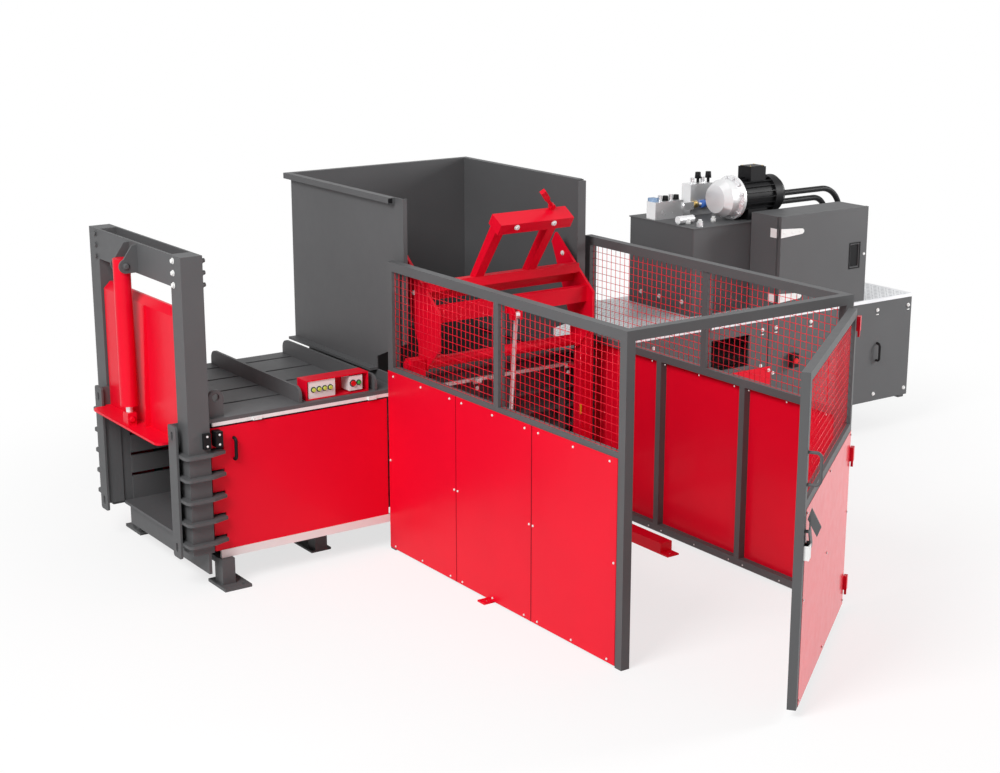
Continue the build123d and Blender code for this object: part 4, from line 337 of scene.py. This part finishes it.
def wire_mesh(shape, corner, across, width, height):
    """One mesh bay: upright and level wires that cross in two layers."""
    corner = Vector(corner)
    across = Vector(across).normalized()
    layer = Vector((across.y, -across.x, 0)) * wire_radius
    count = max(1, round(width / wire_pitch))
    for index in range(count + 1):
        foot = corner + across * (width * index / count)
        shape.rod(foot + layer, foot + layer + Vector((0, 0, height)), wire_radius, hexagon)
    rows = max(1, round(height / wire_pitch))
    for index in range(rows + 1):
        level = corner - layer + Vector((0, 0, height * index / rows))
        shape.rod(level, level + across * width, wire_radius, hexagon)


for wall in ("left", "right"):
    low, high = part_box(f"fence_{wall}_mesh")
    middle_x = (low.x + high.x) / 2
    bay = (high.y - low.y - mesh_post) / 2
    mesh_shape = Shape()
    for bay_start in (low.y, low.y + bay + mesh_post):
        wire_mesh(mesh_shape, (middle_x, bay_start, low.z), (0, 1, 0), bay, high.z - low.z)
    wires = mesh_shape.done(f"Fence_{wall}_wires", red, "frame")
    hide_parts(f"fence_{wall}_mesh")

gate_turn = math.radians(36.0)
gate_axis = Vector((1.714, -3.233, 0))
gate_along = Vector((-math.cos(gate_turn), -math.sin(gate_turn), 0))
gate_out = Vector((math.sin(gate_turn), -math.cos(gate_turn), 0))
gate_place = Matrix.Translation(gate_axis) @ Matrix.Rotation(gate_turn + math.pi, 4, "Z")
gate_clear = (0.075, 1.624)
low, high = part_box("gate_mesh")
gate_corner = gate_axis + gate_along * gate_clear[0] + Vector((0, 0, low.z))
gate_shape = Shape()
wire_mesh(gate_shape, gate_corner, gate_along, gate_clear[1] - gate_clear[0], high.z - low.z)
gate_wires = gate_shape.done("Gate_wires", red, "gate")
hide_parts("gate_mesh")


# Raised lozenges of the tread plate, each a low ridge of six faces, coloured darker than the plate as
# painted shade on the pattern

lozenge_pitch = 0.042
lozenge_long = 0.017
lozenge_short = 0.006
lozenge_rise = Vector((0, 0, 0.0022))
ridge_share = 0.6
lozenge_start = 0.03
lozenge_margin = 0.04
low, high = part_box("tread_platform")
columns = int((high.x - low.x - lozenge_margin) / lozenge_pitch)
rows = int((high.y - low.y - lozenge_margin) / lozenge_pitch)
tread_shape = bmesh.new()
for column in range(columns):
    for row in range(rows):
        centre_x = low.x + lozenge_start + column * lozenge_pitch
        centre_y = low.y + lozenge_start + row * lozenge_pitch
        centre = Vector((centre_x, centre_y, high.z))
        angle = math.radians(45 if (column + row) % 2 else 135)
        along = Vector((math.cos(angle), math.sin(angle), 0))
        beside = Vector((-along.y, along.x, 0))
        head, left, tail, right, ridge_head, ridge_tail = [
            tread_shape.verts.new(spot)
            for spot in (
                centre + along * lozenge_long,
                centre + beside * lozenge_short,
                centre - along * lozenge_long,
                centre - beside * lozenge_short,
                centre + along * lozenge_long * ridge_share + lozenge_rise,
                centre - along * lozenge_long * ridge_share + lozenge_rise,
            )
        ]
        for face in (
            (head, left, ridge_head),
            (ridge_head, left, ridge_tail),
            (ridge_tail, left, tail),
            (ridge_tail, tail, right),
            (ridge_head, ridge_tail, right),
            (head, ridge_head, right),
        ):
            tread_shape.faces.new(face)
tread_bumps = new_piece(tread_shape, "Tread_lozenges", lozenge_shade_grey)
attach(tread_bumps, "frame")


# White screws of the fence sheets, with their tips on the inside, and dark red strips on the seams between
# the sheets, painted shade of the gaps

sheet_count = 3
screw_head = (0.008, 0.006)
screw_tip = (0.006, 0.004)
screw_edge = 0.069
screw_low = 0.02
screw_high = 0.03
seam_edge = 0.02
seam_half = 0.003
seam_proud = 0.0006
wall_depth = 0.056
screws = Shape()
seams = Shape()
for wall, normal in (("left", -1), ("right", 1)):
    low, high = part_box(f"fence_{wall}_sheets")
    face_x = low.x if normal < 0 else high.x
    inner_x = face_x - normal * wall_depth
    proud = sorted((face_x, face_x + normal * seam_proud))
    span = (high.y - low.y) / sheet_count
    for index in range(sheet_count):
        first = low.y + index * span
        last = first + span
        for level in (low.z + screw_low, high.z - screw_high):
            for spot in (first + screw_edge, (first + last) / 2, last - screw_edge):
                screws.dome((face_x, spot, level), (normal, 0, 0), *screw_head)
                screws.dome((inner_x, spot, level), (-normal, 0, 0), *screw_tip)
        for spot in (first + seam_edge, last - seam_edge):
            screws.dome((face_x, spot, (low.z + high.z) / 2), (normal, 0, 0), *screw_head)
        if index:
            seams.box((proud[0], first - seam_half, low.z), (proud[1], first + seam_half, high.z))
screws.done("Fence_screws", white, "frame")
seams.done("Sheet_seams", seam_shade_red, "frame", smooth=False)


# Outer skin of the gate with its screws, red hinge blocks, a pale lock and the latch's flap

gate_face = 0.0252
skin_sheet = 0.0015
skin_face = gate_face + skin_sheet
skin_x = (0.027, gate_clear[1] - 0.002)
skin_z = (0.05, 1.176)
skin = Shape()
skin.box((skin_x[0], gate_face, skin_z[0]), (skin_x[1], skin_face, skin_z[1]), gate_place)
skin.done("Gate_skin", red_gloss, "gate", smooth=False)

skin_screw_edge = 0.02
skin_screw_levels = (skin_z[0] + 0.03, 0.66, skin_z[1] - 0.025)
gate_screws = Shape()
for spot in (skin_x[0] + skin_screw_edge, (skin_x[0] + skin_x[1]) / 2, skin_x[1] - skin_screw_edge):
    for level in skin_screw_levels:
        seat = gate_axis + gate_along * spot + gate_out * skin_face + Vector((0, 0, level))
        gate_screws.dome(seat, gate_out, *screw_head)
gate_screws.done("Gate_screws", white, "gate")

hinge_levels = (0.185, 1.02, 1.835)
hinge_half = 0.045
hinge_tail = 0.085
hinge_x = (-0.016, 0.026)
hinge_y = (gate_face, gate_face + 0.022)
tail_x = (-0.016, 0.0)
tail_y = (gate_face + 0.004, gate_face + 0.018)
hinge_blocks = Shape()
for level in hinge_levels:
    block_z = (level - hinge_half, level + hinge_half)
    tail_z = (level - hinge_tail, level - hinge_half)
    for x, y, z in ((hinge_x, hinge_y, block_z), (tail_x, tail_y, tail_z)):
        hinge_blocks.box((x[0], y[0], z[0]), (x[1], y[1], z[1]), gate_place)
hinge_blocks.done("Hinge_blocks", red, "gate", smooth=False)

lock_x = (1.60, 1.662)
lock_z = (0.905, 0.985)
lock_deep = 0.03
lock = Shape()
lock.box((lock_x[0], gate_face, lock_z[0]), (lock_x[1], gate_face + lock_deep, lock_z[1]), gate_place)
lock.done("Gate_lock", white, "gate", smooth=False)

shackle_x = 1.63
shackle_y = gate_face + 0.016
shackle_top = 1.005
shackle_radius = 0.009
shackle_foot = gate_place @ Vector((shackle_x, shackle_y, lock_z[1]))
shackle_end = gate_place @ Vector((shackle_x, shackle_y, shackle_top))
shackle = Shape()
shackle.rod(shackle_foot, shackle_end, shackle_radius)
shackle.done("Lock_shackle", plastic, "gate")

flap_start = 1.636
flap_sheet = 0.008
flap_outline = ((0.036, 1.130), (0.056, 1.196), (0.110, 1.095), (0.089, 1.037))
flap_foot = gate_axis + gate_along * flap_start
neck_low = (1.624, 0.0455, 1.05)
neck_high = (1.644, 0.0525, 1.15)
flap = Shape()
flap.plate([flap_foot + gate_out * reach + Vector((0, 0, level)) for reach, level in flap_outline],
           gate_along * flap_sheet)
flap.box(neck_low, neck_high, gate_place)
flap.done("Latch_flap", grey, "gate_latch", smooth=False)


# White bolts of the side covers, the service hatch and the tank

cover_bolt = (0.012, 0.012)
cover_bolt_xs = (1.75, 2.35, 2.84, 3.453, 3.599, 3.978, 4.4, 4.737, 5.1)
cover_top = 1.073
cover_low = 0.36
dash_half = 0.014
dash_proud = 0.003
dash_z = (cover_top - 0.042, cover_top - 0.034)
cover_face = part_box("side_covers")[1].y
cover_bolts = Shape()
for x in cover_bolt_xs:
    for side in (-1, 1):
        cover_bolts.bolt((x, side * cover_face, cover_top), (0, side, 0), *cover_bolt)
        dash = sorted((side * cover_face, side * (cover_face + dash_proud)))
        cover_bolts.box((x - dash_half, dash[0], dash_z[0]), (x + dash_half, dash[1], dash_z[1]))
        cover_bolts.bolt((x, side * cover_face, cover_low), (0, side, 0), *cover_bolt)

hatch_bolt = (0.011, 0.011)
hatch_low, hatch_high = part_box("service_hatch")
hatch_spots = ((-0.104, -cover_face, 0.016), (-0.02, hatch_low.y, -0.03), (0.03, -cover_face, -0.06))
for beyond, face_y, above in hatch_spots:
    seat = (hatch_high.x + beyond, face_y, hatch_high.z + above)
    cover_bolts.bolt(seat, (0, -1, 0), *hatch_bolt)

tank_bolt = (0.014, 0.012)
tank_bolt_level = 1.272
tank_bolt_front = 0.12
tank_bolt_rear = 0.17
tank_rim = 0.008
tank_low, tank_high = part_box("oil_tank")
tank_middle = (tank_low.y + tank_high.y) / 2
for y in (tank_low.y + tank_bolt_front, tank_middle, tank_high.y - tank_bolt_rear):
    cover_bolts.bolt((tank_low.x + tank_rim, y, tank_bolt_level), (-1, 0, 0), *tank_bolt)
cover_bolts.done("Cover_bolts", white, "frame")


# Bolts and pins of the exit portal, and screws of the interlocks

portal_bolt = (0.015, 0.014)
portal_nut = (0.015, 0.022)
portal_front = -1.484
portal_bolt_y = 0.605
portal_nut_edge = 0.02
portal_first = 0.035
portal_step = 0.076
portal_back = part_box("exit_portal")[1].x
portal_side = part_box("exit_portal")[1].y
portal_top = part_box("exit_portal")[1].z
portal_bolts = Shape()
plain_bolts = Shape()
for index in range(3):
    level = portal_top - portal_first - index * portal_step
    portal_bolts.bolt((portal_front, -portal_bolt_y, level), (-1, 0, 0), *portal_bolt)
    plain_bolts.bolt((portal_front, portal_bolt_y, level), (-1, 0, 0), *portal_bolt)
    for side in (-1, 1):
        seat = (portal_back, side * (portal_side - portal_nut_edge), level)
        plain_bolts.bolt(seat, (1, 0, 0), *portal_nut)

pin_x = -1.565
bracket_pin = (0.024, 0.012)
bracket_half = 0.073
bracket_level = 2.04
clevis_pin = (0.024, 0.010)
clevis_half = 0.04
clevis_level = 1.022
clevis_pins = Shape()
for side in (-1, 1):
    plain_bolts.dome((pin_x, side * bracket_half, bracket_level), (0, side, 0), *bracket_pin)
    clevis_pins.dome((pin_x, side * clevis_half, clevis_level), (0, side, 0), *clevis_pin)
plain_bolts.done("Portal_pins", grey, "frame")
clevis_pins.done("Clevis_pins", red, "bale_door")

key_screw = (0.008, 0.005)
key_levels = (0.974, 1.038)
switch_x = -1.367
key_x = -1.282
switch_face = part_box("switch_boxes")[1].y
for side, guard in ((-1, "front"), (1, "rear")):
    key_bolts = Shape()
    for level in key_levels:
        portal_bolts.dome((switch_x, side * switch_face, level), (0, side, 0), *key_screw)
        key_bolts.dome((key_x, side * switch_face, level), (0, side, 0), *key_screw)
    key_bolts.done(f"Key_bolts_{guard}", white, f"side_guard_{guard}")
portal_bolts.done("Portal_bolts", white, "frame")


# Bolts of the bin lift, and the lower lip of its cross bar

arm_bolt = (0.013, 0.012)
arm_inner = (0.208, 1.460)
arm_outer = (0.188, 1.480)
arm_spots = ((-0.668, 1.901), (-0.789, 1.792))
arm_outer_spot = (-0.717, 1.774)
arm_bolts = Shape()
for y, z in arm_spots:
    arm_bolts.bolt((arm_inner[1], y, z), (-1, 0, 0), *arm_bolt)
    arm_bolts.bolt((arm_inner[0], y, z), (1, 0, 0), *arm_bolt)
arm_bolts.bolt((arm_outer[0], *arm_outer_spot), (-1, 0, 0), *arm_bolt)
arm_bolts.bolt((arm_outer[1], *arm_outer_spot), (1, 0, 0), *arm_bolt)

head_bolt = (0.015, 0.014)
head_offsets = (-0.16, 0.14)
head_rise = 0.552
head_depth = 0.106
frame_lean = math.radians(32.4)
frame_foot = Vector((0.834, -0.829, 1.825))
head_out = Vector((0, -math.cos(frame_lean), -math.sin(frame_lean)))
head_up = Vector((0, -math.sin(frame_lean), math.cos(frame_lean)))
head_seat = frame_foot + head_up * head_rise + head_out * head_depth
for offset in head_offsets:
    arm_bolts.bolt(head_seat + Vector((offset, 0, 0)), head_out, *head_bolt)
arm_bolts.done("Lift_bolts", white, "bin_tipper")

lip_low = (0.2085, -0.797, 1.725)
lip_high = (1.4595, -0.787, 1.793)
lip = Shape()
lip.box(lip_low, lip_high)
lip.done("Cross_bar_lip", red, "bin_tipper", smooth=False)


# Near-black plates in the hollow ends of the hopper's rim tubes: painted shade of the tube insides

rim_size = 0.04
rim_wall = 0.004
rim_setback = 0.098
rim_end_y = (-0.0006, 0.001)
hopper_low, hopper_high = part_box("hopper")
rim_front = hopper_low.y + rim_setback
rim_ends = Shape()
for rim_x in (hopper_low.x, hopper_high.x - rim_size):
    rim_ends.box((rim_x + rim_wall, rim_front + rim_end_y[0], hopper_high.z - rim_size + rim_wall),
                 (rim_x + rim_size - rim_wall, rim_front + rim_end_y[1], hopper_high.z - rim_wall))
rim_ends.done("Rim_ends", painted_shade_steel, "frame", smooth=False)


# Guard rail clamps, and the yellow tag on a mast

clamp_bolt = (0.011, 0.012)
clamp_xs = (0.71, 1.5)
clamp_half = 0.035
clamp_proud = 0.008
clamp_drops = (0.0, 0.05)
clamp_bolt_drop = 0.02
clamp_z = (-0.036, -0.002)
rail_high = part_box("guard_rails")[1]
rail_clamps = Shape()
for side in (-1, 1):
    for x in clamp_xs:
        for drop in clamp_drops:
            seat = (x, side * rail_high.y, rail_high.z - clamp_bolt_drop - drop)
            rail_clamps.bolt(seat, (0, side, 0), *clamp_bolt)
    across = sorted((side * rail_high.y, side * (rail_high.y + clamp_proud)))
    for x in clamp_xs:
        rail_clamps.box((x - clamp_half, across[0], rail_high.z + clamp_z[0]),
                        (x + clamp_half, across[1], rail_high.z + clamp_z[1]))
rail_clamps.done("Rail_clamps", white, "frame")

tag_low = (1.471, -0.872, 0.765)
tag_high = (1.487, -0.868, 0.835)
tag = Shape()
tag.box(tag_low, tag_high)
tag.done("Mast_tag", yellow, "frame", smooth=False)


# Control cabinet: white strap hinges with their leaves, a door screw and the handle's bezel

strap_levels = (1.300, 1.815)
strap_half = 0.0358
strap_outline = (
    (3.6232, -strap_half),
    (3.6232, strap_half),
    (3.850, 0.0208),
    (3.8648, 0.009),
    (3.8648, -0.009),
    (3.850, -0.0208),
)
strap_proud = 0.0012
strap_thick = 0.0068
strap_screw = (0.009, 0.004)
strap_screw_xs = (3.655, 3.74, 3.82)
leaf_x = (3.5976, 3.5988)
leaf_y = (-0.5885, -0.5195)
door_low, door_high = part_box("cabinet_door")
strap_face = door_low.y - strap_proud
straps = Shape()
leaves = Shape()
for level in strap_levels:
    straps.plate([(x, strap_face, level + rise) for x, rise in strap_outline], (0, strap_thick, 0))
    for x in strap_screw_xs:
        straps.dome((x, strap_face, level), (0, -1, 0), *strap_screw)
    leaves.box((leaf_x[0], leaf_y[0], level - strap_half), (leaf_x[1], leaf_y[1], level + strap_half))
leaves.done("Strap_leaves", white, "frame", smooth=False)

door_screw = (0.012, 0.005)
door_screw_level = 1.56
door_screw_edge = 0.028
door_screw_sink = 0.006
seat = (door_high.x - door_screw_edge, door_low.y + door_screw_sink, door_screw_level)
straps.dome(seat, (0, -1, 0), *door_screw)
straps.done("Strap_hinges", white, "cabinet_door", smooth=False)

door_face = -0.6104
bezel_x = (4.392, 4.498)
bezel_y = (door_face - 0.004, door_face)
bezel_z = (1.459, 1.656)
bezel_wide = 0.008
bezel = Shape()
for edge_x in (bezel_x[0] - bezel_wide, bezel_x[1]):
    bezel.box((edge_x, bezel_y[0], bezel_z[0] - bezel_wide),
              (edge_x + bezel_wide, bezel_y[1], bezel_z[1] + bezel_wide))
for edge_z in (bezel_z[0] - bezel_wide, bezel_z[1]):
    bezel.box((bezel_x[0], bezel_y[0], edge_z), (bezel_x[1], bezel_y[1], edge_z + bezel_wide))
bezel.done("Handle_bezel", plastic, "cabinet_door", smooth=False)


# Power pack: coils, fittings and flange bolts, knobs, tank fittings

pale_box = ((3.030, 0.235, 1.975), (3.085, 0.300, 2.035))
pale_cap = ((3.085, 0.268, 2.005), (3.130, 0.268, 2.005))
pale_radius = 0.028
coils = Shape()
coils.box(*pale_box)
coils.rod(*pale_cap, pale_radius, coil_sides)
coils.done("Pale_coil", pale_blue, "frame")

valve_y = 0.200
valve_z = 1.955
coil_xs = (3.538, 3.648)
coil_half = 0.035
coil_radius = 0.03
blue_coils = Shape()
for x in coil_xs:
    coil_start = (x - coil_half, valve_y, valve_z)
    coil_end = (x + coil_half, valve_y, valve_z)
    blue_coils.rod(coil_start, coil_end, coil_radius, coil_sides)
blue_coils.done("Blue_coils", blue_plastic, "frame")

brass_x = (3.405, 3.462)
brass_z = 1.957
brass_radius = 0.028
brass_parts = Shape()
brass_parts.rod((brass_x[0], valve_y, brass_z), (brass_x[1], valve_y, brass_z), brass_radius, hexagon)
brass_parts.done("Brass_fitting", brass, "frame")

stem_end = 3.683
stem_radius = 0.012
valve_body = ((3.30, 0.170, 1.925), (3.405, 0.230, 1.985))
flange_bolt = (0.009, 0.012)
flange_count = 12
flange_circle = 0.158
flange_thick = 0.03
bell_low, bell_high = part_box("bell_housing")
bell_middle = (bell_low + bell_high) / 2
block_parts = Shape()
block_parts.rod((brass_x[1], valve_y, valve_z), (stem_end, valve_y, valve_z), stem_radius, bolt_sides)
block_parts.box(*valve_body)
for index in range(flange_count):
    angle = 2 * math.pi * (index + 0.5) / flange_count
    bolt_y = bell_middle.y + flange_circle * math.cos(angle)
    bolt_z = bell_middle.z + flange_circle * math.sin(angle)
    block_parts.bolt((bell_high.x - flange_thick, bolt_y, bolt_z), (-1, 0, 0), *flange_bolt)
block_parts.done("Valve_fittings", polished, "frame")

knob_spots = (
    (3.166, 0.245, 2.026, 0.05),
    (3.277, 0.245, 2.026, 0.06),
    (3.521, 0.265, 2.186, 0.03),
    (3.631, 0.265, 2.182, 0.03),
)
knob_under = 0.03
knob_over = 0.02
knob_sink = 0.036
knob_stem = 0.012
knob_radius = 0.026
knob_top = 0.022
knobs = Shape()
for x, y, z, stem in knob_spots:
    knobs.rod((x, y, z - knob_sink - stem), (x, y, z - knob_under), knob_stem, screw_sides)
    knobs.rod((x, y, z - knob_under), (x, y, z + knob_over), knob_radius, coil_sides, knob_top)
knobs.done("Valve_knobs", plastic, "frame")

fitting_spots = ((3.123, -0.084), (3.164, -0.182), (3.353, -0.125))
fitting_nut = (0.03, 0.022)
fitting_neck = (0.045, 0.014)
tank_fittings = Shape()
for x, y in fitting_spots:
    nut_top = tank_high.z + fitting_nut[0]
    tank_fittings.rod((x, y, tank_high.z), (x, y, nut_top), fitting_nut[1], hexagon)
    tank_fittings.rod((x, y, nut_top), (x, y, tank_high.z + fitting_neck[0]), fitting_neck[1], screw_sides)
tank_fittings.done("Tank_fittings", white, "frame")


# Motor: fan grille, terminal lid with its screws; nuts of the pipes

motor_axis_y = -0.105
motor_axis_z = 2.044
grille_radii = (0.04, 0.07, 0.10, 0.13)
grille_width = 0.006
grille_height = 0.003
spoke_count = 8
spoke_reach = (0.034, 0.13)
spoke_radius = 0.003
motor_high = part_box("pump_motor")[1]
hub = Vector((motor_high.x + grille_height / 2, motor_axis_y, motor_axis_z))
grille = Shape()
for radius in grille_radii:
    grille.ring((motor_high.x, motor_axis_y, motor_axis_z), (1, 0, 0), radius, grille_width, grille_height)
for index in range(spoke_count):
    angle = 2 * math.pi * index / spoke_count
    spoke = Vector((0, math.cos(angle), math.sin(angle)))
    grille.rod(hub + spoke * spoke_reach[0], hub + spoke * spoke_reach[1], spoke_radius, hexagon)
grille.done("Fan_grille", grey, "frame")

lid_half = 0.06
lid_thick = 0.006
lid_x = (3.690, 3.840)
lid_y = (motor_axis_y - lid_half, motor_axis_y + lid_half)
lid_top = motor_high.z + lid_thick
lid = Shape()
lid.box((lid_x[0], lid_y[0], motor_high.z), (lid_x[1], lid_y[1], lid_top))
lid.done("Terminal_lid", black, "frame", smooth=False)

lid_screw = (0.006, 0.004)
lid_inset = 0.012
lid_screws = Shape()
for x in (lid_x[0] + lid_inset, lid_x[1] - lid_inset):
    for y in (lid_y[0] + lid_inset, lid_y[1] - lid_inset):
        lid_screws.dome((x, y, lid_top), (0, 0, 1), *lid_screw)
lid_screws.done("Lid_screws", brass, "frame")

pipe_spots = ((0.100, 1.988), (0.170, 1.904))
pipe_nut_x = (3.868, 3.915)
pipe_nut = 0.036
pipe_nuts = Shape()
for y, z in pipe_spots:
    pipe_nuts.rod((pipe_nut_x[0], y, z), (pipe_nut_x[1], y, z), pipe_nut, hexagon)
pipe_nuts.done("Pipe_nuts", steel, "frame")


# Collars round the push buttons

collar_gap = 0.006
collar_width = 0.005
collar_height = 0.003
ringed_buttons = (
    "panel_button_1",
    "panel_button_2",
    "panel_button_3",
    "panel_button_4",
    "start_button",
    "stop_button",
)
panel_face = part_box("control_panels")[0].y
collars = Shape()
for button in ringed_buttons:
    low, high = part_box(button)
    middle = (low + high) / 2
    radius = (high.x - low.x) / 2 + collar_gap
    collars.ring((middle.x, panel_face, middle.z), (0, -1, 0), radius, collar_width, collar_height)
collars.done("Button_collars", plastic, "frame")


# Light, floor and camera

full_white = (1.0, 1.0, 1.0, 1.0)
room_light = 0.27
backdrop_light = 1.0


def seen_rays(tree):
    """One for rays from the camera and for those in mirrors and glass, zero for all others."""
    path = tree.nodes.new("ShaderNodeLightPath")
    seen = path.outputs["Is Camera Ray"]
    for kind in ("Is Glossy Ray", "Is Transmission Ray"):
        both = tree.nodes.new("ShaderNodeMath")
        both.operation = "MAXIMUM"
        tree.links.new(seen, both.inputs[0])
        tree.links.new(path.outputs[kind], both.inputs[1])
        seen = both.outputs["Value"]
    return seen


def add_background(tree, strength):
    background = tree.nodes.new("ShaderNodeBackground")
    background.inputs["Color"].default_value = full_white
    background.inputs["Strength"].default_value = strength
    return background


world = bpy.data.worlds.new("Studio")
bpy.context.scene.world = world
world.use_nodes = True
tree = world.node_tree
tree.nodes.clear()
output = tree.nodes.new("ShaderNodeOutputWorld")
soft = add_background(tree, room_light)
plain = add_background(tree, backdrop_light)
mix = tree.nodes.new("ShaderNodeMixShader")
tree.links.new(seen_rays(tree), mix.inputs["Fac"])
tree.links.new(soft.outputs["Background"], mix.inputs[1])
tree.links.new(plain.outputs["Background"], mix.inputs[2])
tree.links.new(mix.outputs["Shader"], output.inputs["Surface"])


def area_light(name, place, target, size, power):
    data = bpy.data.lights.new(name, "AREA")
    data.shape = "RECTANGLE"
    data.size = size[0]
    data.size_y = size[1]
    data.energy = power
    lamp = bpy.data.objects.new(name, data)
    bpy.context.scene.collection.objects.link(lamp)
    lamp.location = place
    lamp.rotation_euler = (Vector(target) - Vector(place)).to_track_quat("-Z", "Y").to_euler()


area_light("Left key", place=(-8.0, -4.8, 8.5), target=(1.5, -0.8, 0.8), size=(5.0, 5.0), power=1150.0)
area_light("Right key", place=(13.0, -6.0, 5.0), target=(2.0, -1.0, 0.8), size=(4.0, 4.0), power=1150.0)
area_light("Top", place=(1.5, -1.0, 9.5), target=(1.5, -0.8, 0.0), size=(9.0, 6.0), power=60.0)


def floor_material(middle, near, far, near_share):
    """A pale floor that takes the shadow near the object and runs into the white backdrop."""
    material, tree, shader = new_material("Pale floor")
    shader.inputs["Base Color"].default_value = (0.93, 0.93, 0.93, 1.0)
    shader.inputs["Roughness"].default_value = 0.7
    shader.inputs["Specular IOR Level"].default_value = 0.1
    place = tree.nodes.new("ShaderNodeNewGeometry")
    reach = tree.nodes.new("ShaderNodeVectorMath")
    reach.operation = "DISTANCE"
    reach.inputs[1].default_value = middle
    fade = add_range(tree, reach.outputs["Value"], near_share, 1.0)
    fade.interpolation_type = "SMOOTHSTEP"
    fade.inputs["From Min"].default_value = near
    fade.inputs["From Max"].default_value = far
    share = tree.nodes.new("ShaderNodeMath")
    share.operation = "MULTIPLY"
    backdrop = tree.nodes.new("ShaderNodeEmission")
    backdrop.inputs["Color"].default_value = full_white
    backdrop.inputs["Strength"].default_value = backdrop_light
    blend = tree.nodes.new("ShaderNodeMixShader")
    tree.links.new(place.outputs["Position"], reach.inputs[0])
    tree.links.new(fade.outputs["Result"], share.inputs[0])
    tree.links.new(seen_rays(tree), share.inputs[1])
    tree.links.new(share.outputs["Value"], blend.inputs["Fac"])
    tree.links.new(shader.outputs["BSDF"], blend.inputs[1])
    tree.links.new(backdrop.outputs["Emission"], blend.inputs[2])
    tree.links.new(blend.outputs["Shader"], tree.nodes["Material Output"].inputs["Surface"])
    return material


floor_half = 60
floor_corners = [(x * floor_half, y * floor_half, 0) for x, y in ((-1, -1), (1, -1), (1, 1), (-1, 1))]
floor_data = bpy.data.meshes.new("Floor")
floor_data.from_pydata(floor_corners, [], [(0, 1, 2, 3)])
floor = bpy.data.objects.new("Floor", floor_data)
bpy.context.scene.collection.objects.link(floor)
floor.data.materials.append(floor_material(middle=(1.9, -1.2, 0.0), near=3.0, far=6.0, near_share=0.72))

camera_place = (-5.9549, -10.5310, 4.1663)
camera_down = 14.729
camera_right = 34.878
camera_data = bpy.data.cameras.new("Camera")
camera_data.sensor_fit = "HORIZONTAL"
camera_data.sensor_width = 36.0
camera_data.lens = 63.742
camera_data.clip_end = 200.0
camera = bpy.data.objects.new("Camera", camera_data)
bpy.context.scene.collection.objects.link(camera)
camera.location = camera_place
camera.rotation_euler = (math.radians(90 - camera_down), 0, math.radians(-camera_right))
bpy.context.scene.camera = camera
bpy.context.scene.view_settings.view_transform = "Standard"
